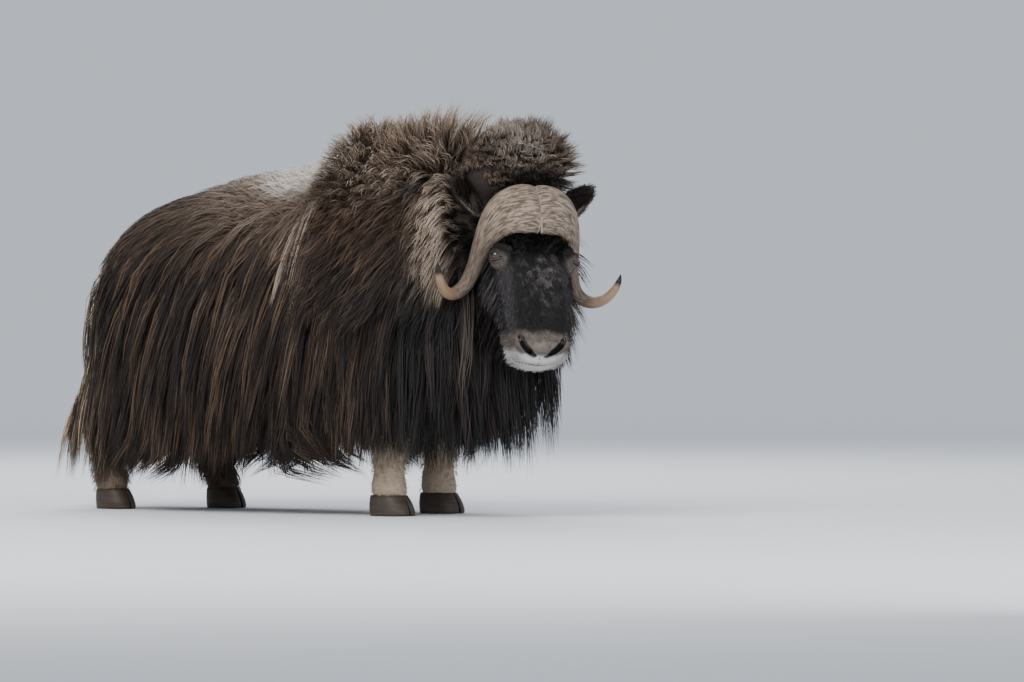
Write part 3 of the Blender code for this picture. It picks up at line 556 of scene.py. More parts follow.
def nostril(side):
    share = np.interp(np.linspace(0, 1, 20), (0, 0.3, 0.7, 1), (0.60, 1.0, 0.95, 0.6))
    deep = OUT * 0.006 + ALONG * 0.003
    return swept(nostril_line(side) - deep, [(0.0125 * s, 0.0150 * s) for s in share], OUT, 24)


def philtrum_line():
    return on_head([(0.335, 0, -0.030), (0.352, 0, -0.045), (0.362, 0, -0.060), (0.364, 0, -0.078)])


def hollow_share(points, more=1.0):
    """1 deep in the nostrils and in the line of the mouth, 0 away from them."""
    lines = []
    for side in (1, -1):
        lines += [(nostril_line(side) - OUT * sunk, 0.0125 * more) for sunk in (0.006, 0.018)]
    lines += [(mouth_line(0.0, 0.0), 0.0056 * more), (philtrum_line(), 0.0030 * more)]
    found = np.zeros(len(points))
    near = np.linalg.norm(points - on_head((0.33, 0, -0.05)), axis=1) < 0.16
    for line, reach in lines:
        apart = np.linalg.norm(points[near, None] - line[None], axis=2).min(1)
        found[near] = np.maximum(found[near], 1 - ramp(apart, reach * 0.85, reach * 1.35))
    return found


def muzzle_pieces():
    """The pad between the nostrils, the wings round them, the lips and the chin."""
    pieces = [bead(on_head((0.318, 0, -0.012)), (0.040, 0.030, 0.020), HEAD_AXES)]
    for side in (1, -1):
        pieces.append(tube(nostril_line(side, -0.002, 0.012), 0.0095, OUT, 0.5))
        pieces.append(bead(on_head((0.325, 0.040 * side, -0.060)), (0.026, 0.036, 0.022), HEAD_AXES))
    for rise in (0.012, -0.013):
        pieces.append(tube(mouth_line(rise, 0.009), 0.0110))
    pieces.append(bead(on_head((0.322, 0, -0.118)), (0.030, 0.050, 0.026), HEAD_AXES))
    return pieces


# Meshes


MOVE = (
    (Vector(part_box("eye_left")[0]) + Vector(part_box("eye_left")[1])) / 4
    + (Vector(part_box("eye_right")[0]) + Vector(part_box("eye_right")[1])) / 4
    - Vector(on_head((EYE_CENTRE[0], 0.0, EYE_CENTRE[2])))
)


def as_object(points, faces, name):
    mesh = bpy.data.meshes.new(name)
    mesh.from_pydata([tuple(point) for point in points], [], faces)
    thing = bpy.data.objects.new(name, mesh)
    bpy.context.scene.collection.objects.link(thing)
    return thing


def joined(forms, name):
    """Several closed forms as one mesh object."""
    points, faces = [], []
    for form in forms:
        more_points, more_faces = form.mesh()
        faces += [tuple(k + len(points) for k in face) for face in more_faces]
        points += more_points
    thing = as_object(points, faces, name)
    made = bmesh.new()
    made.from_mesh(thing.data)
    bmesh.ops.recalc_face_normals(made, faces=made.faces)
    made.to_mesh(thing.data)
    made.free()
    return thing


def apply_all(thing):
    """Applies the object's modifiers."""
    graph = bpy.context.evaluated_depsgraph_get()
    mesh = bpy.data.meshes.new_from_object(thing.evaluated_get(graph))
    thing.modifiers.clear()
    thing.data = mesh
    return thing


def melted(thing, voxel, smoothing):
    """The object's pieces fused into one even surface."""
    step = thing.modifiers.new("melt", "REMESH")
    step.mode = "VOXEL"
    step.voxel_size = voxel
    if smoothing:
        soften = thing.modifiers.new("soften", "SMOOTH")
        soften.iterations = smoothing
        soften.factor = 0.5
    return apply_all(thing)


def combined(thing, tool, operation):
    step = thing.modifiers.new("combine", "BOOLEAN")
    step.object = tool
    step.operation = operation
    step.solver = "MANIFOLD"
    apply_all(thing)
    bpy.data.objects.remove(tool)
    return thing


def cut(thing, tool):
    return combined(thing, tool, "DIFFERENCE")


def add(thing, tool):
    return combined(thing, tool, "UNION")


def coordinates(mesh):
    flat = np.empty(len(mesh.vertices) * 3)
    mesh.vertices.foreach_get("co", flat)
    return flat.reshape(-1, 3)


def add_numbers(mesh, name, values, kind="FLOAT"):
    """Keeps a number or vector for each vertex, for the materials to read."""
    layer = mesh.attributes.new(name, kind, "POINT")
    key = "value" if kind == "FLOAT" else "vector"
    layer.data.foreach_set(key, np.asarray(values, np.float32).ravel())


def place(thing, finish, replaced=()):
    """Moves a mesh from the body's own place to the frame and fixes it there."""
    thing.data.transform(Matrix.Translation(MOVE))
    thing.data.materials.clear()
    thing.data.materials.append(finish)
    thing.data.shade_smooth()
    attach(thing, "root")
    if replaced:
        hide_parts(*replaced)
    return thing


# The skin


def orbit_pieces(side):
    """The rim of bone round one eye, the lids over it and the folds in them."""
    out, across, over = directions = eye_directions(side)
    eye = on_head(mirrored(EYE_CENTRE, side))
    pieces = [bead(eye - out * ORBIT_SINK, ORBIT_HALF, directions)]
    pieces.append(bead(eye, (EYE_RADIUS + LID_DEPTH,) * 3, directions, 24, 40))
    over_lid = EYE_RADIUS + LID_DEPTH + 0.003
    for way, wide, tall, thick in ((1, 0.025, 0.021, 0.0042), (-1, 0.024, 0.018, 0.0034)):
        fold = lid_line(side, way, wide, tall, -0.0005, over_lid)
        pieces.append(tube(fold, thick, out, 0.3))
    brow = eye + np.linspace(-0.040, 0.045, 16)[:, None] * across + over * 0.034 - out * 0.014
    pieces.append(tube(brow, 0.014, out, 0.3))
    return pieces


def head_pieces():
    pieces = [head_form()] + muzzle_pieces()
    for side in (1, -1):
        pieces += orbit_pieces(side)
        pieces.append(ear_forms(side)[0])
    return pieces


def head_skin():
    head = melted(joined(head_pieces(), "head_skin"), HEAD_CELL, 3)
    hollows = [nostril(1), nostril(-1), tube(mouth_line(0.0, 0.0), 0.0062)]
    hollows.append(tube(philtrum_line(), 0.0030, LEFT))
    hollows += [ear_forms(side)[1] for side in (1, -1)]
    for hollow in hollows:
        cut(head, joined([hollow], "hollow"))
    melted(head, HEAD_CELL, 2)
    for side in (1, -1):
        eye = on_head(mirrored(EYE_CENTRE, side))
        directions = eye_directions(side)
        cut(head, joined([bead(eye, (EYE_RADIUS + 0.0006,) * 3, directions, 32, 56)], "eye_room"))
        cut(head, joined([eye_opening(side)], "eye_opening"))
        for tall in (EYE_OPENING[1], -LOWER_LID * EYE_OPENING[1]):
            rim = lid_line(side, 1, EYE_OPENING[0] * 1.04, tall * 1.08, 0.0016)
            add(head, joined([tube(rim, 0.0015, directions[0], 0.4)], "lid_rim"))
    return head


def whole_skin():
    forms = [trunk_form(), tail_form(), crown_form(), throat_form()] + [leg_form(name) for name in FEET]
    body = melted(joined(forms, "skin"), BODY_CELL, 5)
    return add(body, head_skin())


# Hair


class Skin:
    """Finds the nearest place on the skin and which way is out there."""

    def __init__(self, thing):
        made = bmesh.new()
        made.from_mesh(thing.data)
        self.tree = BVHTree.FromBMesh(made)
        made.free()

    def nearest(self, points):
        close, out = np.empty_like(points), np.empty_like(points)
        for k, point in enumerate(points):
            close[k], out[k] = self.tree.find_nearest(point)[:2]
        return close, out


def spread_out(points, gaps):
    """Picks points in turn that stay at least their gap from those picked before."""
    cells, picked = {}, []
    size = float(gaps.max())
    for k, (point, gap) in enumerate(zip(points, gaps)):
        cell = tuple((point // size).astype(int))
        crowded = False
        for dx in (-1, 0, 1):
            for dy in (-1, 0, 1):
                for dz in (-1, 0, 1):
                    for other in cells.get((cell[0] + dx, cell[1] + dy, cell[2] + dz), ()):
                        if np.dot(point - points[other], point - points[other]) < gap * gap:
                            crowded = True
                            break
        if not crowded:
            cells.setdefault(cell, []).append(k)
            picked.append(k)
    return np.array(picked, int)


class Roots:
    """Where locks grow: points on the skin, the way out, and the place on the form, 0 to 1."""

    def __init__(self, skin, form, gap, keep=None, tolerance=0.010, chart=0):
        tries, along, about = form.sample(int(5 * form.areas().sum() / gap**2))
        if keep is not None:
            kept = keep(tries, along, (about * 2 - 1) * 180.0)
            tries, along, about = tries[kept], along[kept], about[kept]
        picked = spread_out(tries, np.full(len(tries), gap))
        tries, along, about = tries[picked], along[picked], about[picked]
        close, out = skin.nearest(tries)
        near = np.linalg.norm(close - tries, axis=1) < tolerance
        self.points, self.out = close[near], out[near]
        self.along, self.degrees = along[near], (about[near] * 2 - 1) * 180.0
        self.chart = np.stack([along[near], about[near]], 1)
        self.tile = np.full(len(self.points), chart)

    def __len__(self):
        return len(self.points)

    def only(self, kept):
        """Just the roots that kept picks."""
        for name, values in vars(self).items():
            setattr(self, name, values[kept])
        return self

    def added(self, other):
        for name, values in vars(self).items():
            setattr(self, name, np.concatenate([values, getattr(other, name)]))
        return self


def gathered(parts):
    """Several sets of roots as one."""
    roots, *others = parts
    for more in others:
        roots.added(more)
    return roots


def vectors(*parts):
    """A vector for each root from three numbers, some of which differ from root to root."""
    return np.stack(np.broadcast_arrays(*parts), 1)


def per_root(roots, value):
    """A value for each root, from one number, one vector or one of either for each."""
    value = np.asarray(value, float)
    if value.ndim == 0:
        return np.full(len(roots), float(value))
    if value.ndim == 1 and len(value) == 3 and len(roots) != 3:
        return np.tile(value, (len(roots), 1))
    return value


def combed(skin, roots, way, length, lift, pull, cling=0.5, steps=12, rise=2.2, depth=ROOT_DEPTH):
    """Centre lines of locks that start along way, keep lift off the skin and bend by pull.

    With None for the skin they hang free of it. Long ones end at the height of the coat's hem.
    """
    way, pull = per_root(roots, way), per_root(roots, pull)
    length, lift = per_root(roots, length), per_root(roots, lift)
    heading = unit(way)
    line = np.empty((len(roots), steps + 1, 3))
    faces = np.empty_like(line)
    line[:, 0], faces[:, 0] = roots.points - roots.out * depth, roots.out
    stride = (length / steps)[:, None]
    rear, front = LOWEST_HAIR
    low_end = rear + (front - rear) * ramp(roots.points[:, :1], -0.45, 0.35)
    low_end = low_end + random.uniform(0, 0.075, (len(roots), 1))
    for k in range(1, steps + 1):
        heading = unit(heading + pull * stride)
        moved = line[:, k - 1] + heading * stride
        if skin is not None:
            close, out = skin.nearest(moved)
            height = dot(moved - close, out)
            wanted = (lift * ease(k / steps * rise))[:, None]
            moved = np.where(height < wanted, close + out * wanted, moved)
            lying = (height >= wanted) & (out[:, 2:] > 0.04)
            moved = np.where(lying, moved - out * (height - wanted) * cling, moved)
            out = np.where(height < wanted + 0.02, out, faces[:, k - 1])
        else:
            out = faces[:, k - 1]
        heading = unit(moved - line[:, k - 1])
        stopped = moved[:, 2:] < low_end
        line[:, k] = np.where(stopped, line[:, k - 1], moved)
        faces[:, k] = unit(out - heading * dot(out, heading))
    return evened(line), faces


def clear_of(roots, lines, spots, gap, far_off=9.0):
    """Drops the locks whose lines come nearer than gap to any of the spots."""
    line, faces = lines
    nearest = np.full(len(line), far_off)
    for spot in spots:
        nearest = np.minimum(nearest, np.linalg.norm(line - spot, axis=2).min(1))
    kept = nearest > gap
    return roots.only(kept), (line[kept], faces[kept])


def horn_and_ear_spots():
    """Points down the middle of the free part of each horn, and of each ear."""
    spots = []
    for side in (1, -1):
        spots += list(on_head(through(HORN, 3)[12:, :3] * (1, side, 1)))
        base, tip = ear_frame(side)[:2]
        for ahead in EAR_ROOM:
            spots += [base + (tip - base) * t + OUT * ahead for t in np.linspace(0.15, 1.1, 8)]
    return spots


def evened(line):
    """The same lines with their points evenly spaced."""
    steps = np.linalg.norm(np.diff(line, axis=1), axis=2)
    travelled = np.concatenate([np.zeros((len(line), 1)), np.cumsum(steps, 1)], 1)
    shares = np.linspace(0, 1, line.shape[1])
    for k in range(len(line)):
        total = max(travelled[k, -1], 1e-4)
        for axis in range(3):
            line[k, :, axis] = np.interp(shares * total, travelled[k], line[k, :, axis])
    return line


def between(values, shares):
    """Values (lines, stations, 3) read at shares (lines, rings) from 0 to 1 along each line."""
    spot = shares * (values.shape[1] - 1)
    low = np.clip(spot.astype(int), 0, values.shape[1] - 2)
    f = (spot - low)[..., None]
    rows = np.arange(len(values))[:, None]
    return values[rows, low] * (1 - f) + values[rows, low + 1] * f


def hair(
    roots, lines, name, each, spread, width,
    rings=4, clump=0.7, wave=0.004, curl=0.0, turns=1.5, shortest=0.6, thick=0.6,
):
    """Fills each lock with strands: thin tapering blades with a raised middle."""
    line, faces = lines
    lock = np.repeat(np.arange(len(roots)), each)
    count = len(lock)
    reach = random.uniform(shortest, 1.0, count)
    shares = np.linspace(0, 1, rings + 1)
    at = shares[None] * reach[:, None]
    points, out = between(line[lock], at), unit(between(faces[lock], at))
    ahead = unit(np.gradient(points, axis=1))
    side = unit(np.cross(ahead, out))
    spread = per_root(roots, spread)[lock][:, None, None]
    across, high = random.uniform(-1, 1, (count, 1, 1)), random.uniform(-0.6, 1.0, (count, 1, 1))
    drawn_in = (1 - clump * ease(at))[..., None]
    points = points + (side * across + out * high * thick) * spread * drawn_in
    phase = random.uniform(0, 2 * math.pi, (count, 1))
    lock_phase = random.uniform(0, 2 * math.pi, (len(roots), 1))[lock]
    size = per_root(roots, wave)[lock][:, None]
    sway = size * at * (np.sin(4.5 * at + phase) + 1.6 * np.sin(3.2 * at + lock_phase))
    points = points + side * sway[..., None]
    points = points + out * (size * at * np.cos(5.0 * at + phase) * 0.7)[..., None]
    if np.any(curl):
        size = per_root(roots, curl)[lock][:, None] * np.sqrt(at)
        angle = 2 * math.pi * turns * at + lock_phase + phase * 0.12
        points = points + side * (size * np.sin(angle))[..., None]
        points = points + out * (size * np.cos(angle))[..., None]
    ahead = unit(np.gradient(points, axis=1))
    twist = random.uniform(-0.9, 0.9, (count, 1, 1))
    face = unit(out * np.cos(twist) + side * np.sin(twist))
    side = unit(np.cross(ahead, face))
    profile = np.interp(shares[:-1], (0, 0.3, 0.7, 1), (0.7, 1.0, 0.85, 0.35))[None, :, None]
    half = per_root(roots, width)[lock][:, None, None] / 2 * profile
    half = half * random.uniform(0.7, 1.2, (count, 1, 1))
    body = points[:, :-1]
    left = body - side[:, :-1] * half
    right = body + side[:, :-1] * half
    middle = body + face[:, :-1] * half * 0.55
    tone = random.random(count)
    lock_tone = random.random(len(roots))[lock]
    return blades(left, middle, right, points[:, -1], at, roots, lock, tone, lock_tone, name)


def blades(left, middle, right, tips, at, roots, lock, tone, lock_tone, name):
    """The mesh of the strands, with the numbers the material reads and the OFBake UV map."""
    count, rings = left.shape[:2]
    body = np.stack([left, middle, right], 2).reshape(count, rings * 3, 3)
    points = np.concatenate([body, tips[:, None]], 1).reshape(-1, 3)
    each = rings * 3 + 1
    quads = []
    for row in range(rings - 1):
        a = row * 3
        quads += [(a, a + 1, a + 4, a + 3), (a + 1, a + 2, a + 5, a + 4)]
    a = (rings - 1) * 3
    tops = [(a, a + 1, a + 3), (a + 1, a + 2, a + 3)]
    first = (np.arange(count) * each)[:, None, None]
    quads = (np.array(quads)[None] + first).reshape(-1, 4)
    tops = (np.array(tops)[None] + first).reshape(-1, 3)
    corners = np.concatenate([quads.ravel(), tops.ravel()])
    sizes = np.concatenate([np.full(len(quads), 4), np.full(len(tops), 3)])
    mesh = bpy.data.meshes.new(name)
    mesh.vertices.add(len(points))
    mesh.loops.add(len(corners))
    mesh.polygons.add(len(sizes))
    mesh.vertices.foreach_set("co", points.astype(np.float32).ravel())
    mesh.loops.foreach_set("vertex_index", corners.astype(np.int32))
    starts = np.concatenate([[0], np.cumsum(sizes)[:-1]])
    mesh.polygons.foreach_set("loop_start", starts.astype(np.int32))
    mesh.update(calc_edges=True)
    shares = np.concatenate([np.repeat(at[:, :-1], 3, axis=1), at[:, -1:]], 1)
    add_numbers(mesh, "root", np.repeat(roots.points[lock], each, axis=0), "FLOAT_VECTOR")
    add_numbers(mesh, "share", shares.ravel())
    add_numbers(mesh, "drop", np.repeat(roots.points[lock, 2], each) - points[:, 2])
    add_numbers(mesh, "tone", np.repeat(tone, each))
    add_numbers(mesh, "lock_tone", np.repeat(lock_tone, each))
    tiles = roots.tile.max() + 1
    chart = np.stack([(roots.tile + roots.chart[:, 0]) / tiles, roots.chart[:, 1]], 1)
    low, high = chart.min(0), chart.max(0)
    chart = (chart - low) / (high - low) * 0.99 + 0.005
    beside = np.tile(np.concatenate([np.tile((-0.0015, 0.0, 0.0015), rings), [0.0]]), count)
    upward = (shares - 0.5).ravel() * 0.003
    spots = np.repeat(chart[lock], each, axis=0) + np.stack([beside, upward], 1)
    mesh.uv_layers.new(name="OFBake").data.foreach_set("uv", spots[corners].astype(np.float32).ravel())
    thing = bpy.data.objects.new(name, mesh)
    bpy.context.scene.collection.objects.link(thing)
    return thing


# Where each part of the coat grows, how it lies and how long it is


def sideways(degrees):
    """1 on the animal's left flank, -1 on its right, 0 along the midline."""
    return np.sin(np.radians(degrees))


def back_coat(skin, trunk):
    """Short wool over the saddle and the back, lying backwards and to the sides."""
    roots = Roots(skin, trunk, 0.021, lambda p, a, d: (abs(d) < 58) & (p[:, 0] < 0.36) & (p[:, 0] > -0.70))
    x = roots.points[:, 0]
    saddle = ramp(x, -0.28, 0.02)
    side = sideways(roots.degrees)
    way = vectors(-1.0, side * 1.1, 0.0) + roots.out * (0.35 + 0.55 * saddle)[:, None]
    down = ramp(abs(roots.degrees), 15, 60)
    length = 0.17 - 0.075 * saddle + 0.12 * down * (1 - saddle)
    pull = vectors(-4.0, side * 4.0, -3.0)
    lines = combed(skin, roots, way, length, 0.022 + 0.024 * saddle, pull, rise=1.6)
    return hair(roots, lines, "coat_back", 12, 0.017, 0.0031, rings=3, clump=0.35, wave=0.008)


def flank_coat(skin, trunk, side, name, low, high):
    """Long guard hair that sweeps back and hangs from the flank and shoulder."""

    def keep(p, a, d):
        height = p[:, 2]
        return (d * side > 40) & (d * side < 158) & (p[:, 0] > low) & (p[:, 0] <= high) & (height > 0.44)

    roots = Roots(skin, trunk, 0.033, keep)
    x, _, z = roots.points.T
    top = ramp(abs(roots.degrees), 110, 45)
    sweep = (0.75 + 0.85 * top) * random.uniform(0.7, 1.25, len(x))
    way = vectors(-sweep, 0.15 * side, -1.0)
    length = np.minimum(0.70, (z - 0.03) * 1.30) * random.uniform(0.72, 1.05, len(x))
    lift = 0.014 + (0.022 + 0.028 * ramp(x, -0.35, 0.10)) * ramp(z, 0.45, 0.95)
    lift = lift * random.uniform(0.5, 1.0, len(x))
    lines = combed(skin, roots, way, length, lift, -UP * 4.2, cling=0.65)
    return hair(roots, lines, name, 28, 0.024, 0.0034, clump=0.70, wave=0.012, shortest=0.66)


def rump_coat(skin, trunk):
    """Long hair round the rump and over the tail."""
    roots = Roots(skin, trunk, 0.034, lambda p, a, d: (p[:, 0] < -0.53) & (p[:, 2] > 0.46))
    x, y, z = roots.points.T
    outward = unit(vectors(x + 0.42, y, 0.0))
    way = outward * 0.40 - UP
    way[:, 0] -= 1.2 * ramp(z, 0.85, 0.98)
    length = np.minimum(0.86, (z - 0.01) * 1.40) * random.uniform(0.78, 1.05, len(x))
    lift = (0.046 - 0.010 * ramp(z, 0.75, 0.93)) * random.uniform(0.45, 1.0, len(x))
    lines = combed(skin, roots, way, length, lift, -UP * 8.0, cling=0.6)
    return hair(roots, lines, "coat_rump", 36, 0.024, 0.0034, clump=0.68, wave=0.014, shortest=0.7)


def hump_coat(skin, trunk):
    """The upright wool of the hump, falling to both sides and shorter towards the crown."""

    def keep(p, a, d):
        return (abs(d) < 100 - 60 * ramp(a, 0.83, 0.92)) & (p[:, 0] > 0.28) & (a > 0.52)

    roots = Roots(skin, trunk, 0.0215, keep)
    x = roots.points[:, 0]
    side = sideways(roots.degrees)
    low = ramp(abs(roots.degrees), 45, 90)
    front = ramp(roots.along, 0.78, 0.90)
    way = roots.out * (0.95 - 0.45 * low)[:, None]
    way = way + vectors(0.10 + 0.15 * front - 0.35 * low, side * 0.35, 0.30 * front - 0.55 * low)
    rise = 0.105 + 0.105 * ramp(x, 0.42, 0.64) + 0.01 * front
    length = (rise + 0.09 * low) * ramp(x, 0.12, 0.42) * (1 - 0.7 * ramp(roots.along, 0.91, 0.99))
    length = length * random.uniform(0.92, 1.01, len(x))
    pull = vectors(-0.6 - 2.0 * low, side * 3.0, -3.0 - 4 * low)
    lines = combed(None, roots, way, length, 0.0, pull)
    return hair(roots, lines, "coat_hump", 15, 0.023, 0.0029, clump=0.28, wave=0.012, curl=0.012, turns=1.2)


def shoulder_coat(skin, trunk, side):
    """Long dark hair on the shoulder and the side of the neck, under the ruff."""

    def keep(p, a, d):
        return (d * side > 74) & (d * side < 150) & (a > 0.66) & (a < 0.87)

    roots = Roots(skin, trunk, 0.034, keep)
    x, _, z = roots.points.T
    way = vectors(-0.75 * random.uniform(0.6, 1.3, len(x)), 0.35 * side, -1.0)
    length = np.minimum(0.62, (z - 0.08) * 1.15) * random.uniform(0.75, 1.05, len(x))
    lift = 0.050 * random.uniform(0.5, 1.1, len(x))
    lines = combed(skin, roots, way, length, lift, -UP * 6.0)
    name = "coat_shoulder_left" if side > 0 else "coat_shoulder_right"
    return hair(roots, lines, name, 32, 0.024, 0.0034, clump=0.68, wave=0.013)


def ruff_coat(skin, trunk):
    """The collar behind the face: it starts out from the neck and hangs down over the shoulder."""

    def keep(p, a, d):
        return (abs(d) > 38) & (abs(d) < 136) & (a > 0.84)

    roots = Roots(skin, trunk, 0.0195, keep)
    side = sideways(roots.degrees)
    low = ramp(abs(roots.degrees), 70, 115)
    back = ramp(roots.along, 1.0, 0.85)
    way = roots.out * 0.80 + vectors(-0.25 - 0.20 * back, side * 0.10, -0.30 - 0.60 * low)
    far = ramp(side, 0.3, 0.9)
    way = way + far[:, None] * (0.55, 0.35, 0.20)
    length = (0.150 + 0.06 * low + 0.09 * far) * random.uniform(0.8, 1.1, len(side))
    pull = vectors(-2.5 + 2.5 * far, 0.0, -11.0 + 7.0 * far)
    lines = combed(skin, roots, way, length, 0.055 * random.uniform(0.5, 1.1, len(side)), pull, cling=0.1)
    roots, lines = clear_of(roots, lines, horn_and_ear_spots(), 0.036)
    return hair(roots, lines, "coat_ruff", 24, 0.021, 0.0027, clump=0.35, wave=0.010, curl=0.004, turns=0.9)


def crown_coat(skin):
    """The curly mop between the horns and the hump."""
    roots = Roots(skin, crown_form(), 0.0155, lambda p, a, d: a < 0.66, tolerance=0.015)
    count = len(roots)
    lean = roots.points - np.array(CROWN_CENTRE)
    way = roots.out * 0.9 + UP * 0.25
    length = random.uniform(0.060, 0.088, count) + 0.03 * ramp(lean[:, 1], 0.0, 0.12)
    length = length * (1 - 0.6 * ramp(lean @ (0.819, 0.574, 0.0), -0.03, -0.12))
    pull = (0.6, -0.4, -3.0) + roots.out * 1.5
    lines = combed(None, roots, way, length, 0.0, pull)
    roots.curl = 0.011 - 0.007 * ramp(lean[:, 1], 0.0, 0.12)
    roots, lines = clear_of(roots, lines, horn_and_ear_spots(), 0.050)
    style = {"clump": 0.22, "wave": 0.008, "curl": roots.curl, "turns": 1.2}
    return hair(roots, lines, "coat_crown", 24, 0.018, 0.0025, **style)


def throat_coat(skin):
    """Dark hair that fills the hollow between the jaw and the ruff."""

    def keep(p, a, d):
        return (a > 0.10) & (a < 0.95) & (abs(d) < 100)

    roots = Roots(skin, throat_form(), 0.019, keep, tolerance=0.010)
    z = roots.points[:, 2]
    low = ramp(z, 0.98, 0.80)
    way = roots.out * 0.9 + UP * (0.25 - 0.6 * low)[:, None]
    length = random.uniform(0.075, 0.110, len(z)) + 0.14 * low
    lines = combed(None, roots, way, length, 0.0, (-1.0, 0, -4.5))
    roots, lines = clear_of(roots, lines, horn_and_ear_spots(), 0.046)
    return hair(roots, lines, "coat_throat", 20, 0.017, 0.0026, clump=0.4, wave=0.009)


def chest_coat(skin, trunk):
    """Hair that hangs from the throat and chest."""

    def keep(p, a, d):
        return (abs(d) > 118) & (a > 0.60)

    roots = Roots(skin, trunk, 0.036, keep)
    x, _, z = roots.points.T
    way = roots.out * 0.45 + FORWARD * 0.10 - UP
    length = np.minimum(0.56, (z - 0.09) * 1.15) * random.uniform(0.7, 1.05, len(x))
    lines = combed(None, roots, way, length, 0.0, -UP * 4.0)
    return hair(roots, lines, "coat_chest", 25, 0.026, 0.0036, clump=0.68, wave=0.014)


def belly_coat(skin, trunk):
    """Hair that hangs from under the belly."""
    roots = Roots(skin, trunk, 0.050, lambda p, a, d: (abs(d) > 148) & (p[:, 0] < 0.5) & (p[:, 0] > -0.62))
    x, _, z = roots.points.T
    way = roots.out * 0.6 + (-0.2, 0.0, -0.6)
    length = (z - 0.09) * random.uniform(0.6, 1.05, len(x))
    lines = combed(None, roots, way, length, 0.0, -UP * 4.0)
    return hair(roots, lines, "coat_belly", 12, 0.034, 0.0055, clump=0.6, wave=0.014)


def beard_coat(skin, head):
    """The beard under the jaw."""
    roots = Roots(skin, head, 0.019, lambda p, a, d: (abs(d) > 112) & (a > 0.18) & (a < 0.84))
    share = roots.along
    length = (0.33 - 0.28 * ramp(share, 0.35, 0.84)) * random.uniform(0.75, 1.1, len(roots))
    way = roots.out * 0.55 - UP * 0.8
    lines = combed(None, roots, way, length, 0.0, -UP * 5.0)
    return hair(roots, lines, "coat_beard", 16, 0.015, 0.0028, clump=0.6, wave=0.012)


def in_head(points):
    """Places on the head: along the face, to the left and out of the forehead."""
    return (points - EYE_LINE) @ HEAD_AXES.T


def face_coat(skin, head):
    """Short hair that lies down the face."""

    def keep(p, a, d):
        along = in_head(p)[:, 0]
        return (along > np.where(abs(d) < 50, -0.085, -0.16)) & (along < 0.31) & (abs(d) < 125)

    roots = Roots(skin, head, 0.0064, keep, tolerance=0.030)
    along, left, _ = in_head(roots.points).T
    length = 0.021 + 0.006 * ramp(abs(roots.degrees), 60, 110)
    length = length * ramp(along, 0.42, 0.20) * random.uniform(0.8, 1.2, len(along))
    way = ALONG + (np.sign(left) * 0.3)[:, None] * LEFT + roots.out * 0.45
    lines = combed(skin, roots, way, length, 0.0045, roots.out * -10.0, steps=4, depth=0.0005)
    return hair(roots, lines, "coat_face", 6, 0.006, 0.0015, rings=2, clump=0.0, wave=0.0012, thick=0.25)


def brow_coat(skin, head):
    """The dark fringe that stands up over the lower edge of the boss and above the eyes."""

    def keep(p, a, d):
        along = in_head(p)[:, 0]
        return (along > -0.052) & (along < -0.004) & (abs(d) < 84)

    roots = Roots(skin, head, 0.0088, keep, tolerance=0.030)
    _, left, _ = in_head(roots.points).T
    outer = ramp(abs(left), 0.05, 0.12)
    length = (0.062 - 0.026 * outer) * random.uniform(0.7, 1.1, len(left))
    way = roots.out * 0.9 + OUT * 0.6 - ALONG * 0.12
    lines = combed(None, roots, way, length, 0.0, -UP * 6.0, depth=0.001)
    pupils = [on_head(mirrored(EYE_CENTRE, side)) + eye_directions(side)[0] * 0.022 for side in (1, -1)]
    roots, lines = clear_of(roots, lines, pupils, 0.034)
    return hair(roots, lines, "coat_brow", 11, 0.010, 0.0022, clump=0.35, wave=0.005)


def orbit_coat(skin):
    """Very short hair on the rims of the eyes, and the dark bushy brows over them."""
    parts = []
    for chart, side in enumerate((1, -1)):
        out = eye_directions(side)[0]
        eye = on_head(mirrored(EYE_CENTRE, side))
        rim, lids, *_, brow = orbit_pieces(side)
        for layer, (form, gap) in enumerate(((rim, 0.0038), (lids, 0.0030), (brow, 0.0050))):
            more = Roots(skin, form, gap, None, tolerance=0.004, chart=chart * 3 + layer)
            offset = more.points - eye
            flat = offset - dot(offset, out) * out
            apart = np.linalg.norm(flat, axis=1)
            kept = ((offset @ out) > -0.030) & (apart > (0.0165 if layer < 2 else 0.0))
            more = more.only(kept)
            if layer < 2:
                more.way = unit(flat[kept]) * 0.7 + ALONG * 0.6 + more.out * 0.4
                more.long = 0.0035 + 0.22 * np.clip(apart[kept] - 0.018, 0, 0.05)
            else:
                more.way = more.out * 0.8 + out * 0.5 + ALONG * 0.3
                more.long = np.full(len(more), 0.030)
            parts.append(more)
    roots = gathered(parts)
    length = roots.long * random.uniform(0.75, 1.2, len(roots))
    pull = roots.out * -6.0 - UP * 8.0
    lines = combed(skin, roots, roots.way, length, 0.0012, pull, steps=5, depth=0.0004)
    style = {"rings": 2, "clump": 0.1, "wave": 0.001, "thick": 0.2}
    return hair(roots, lines, "coat_orbits", 3, 0.0035, 0.0012, **style)


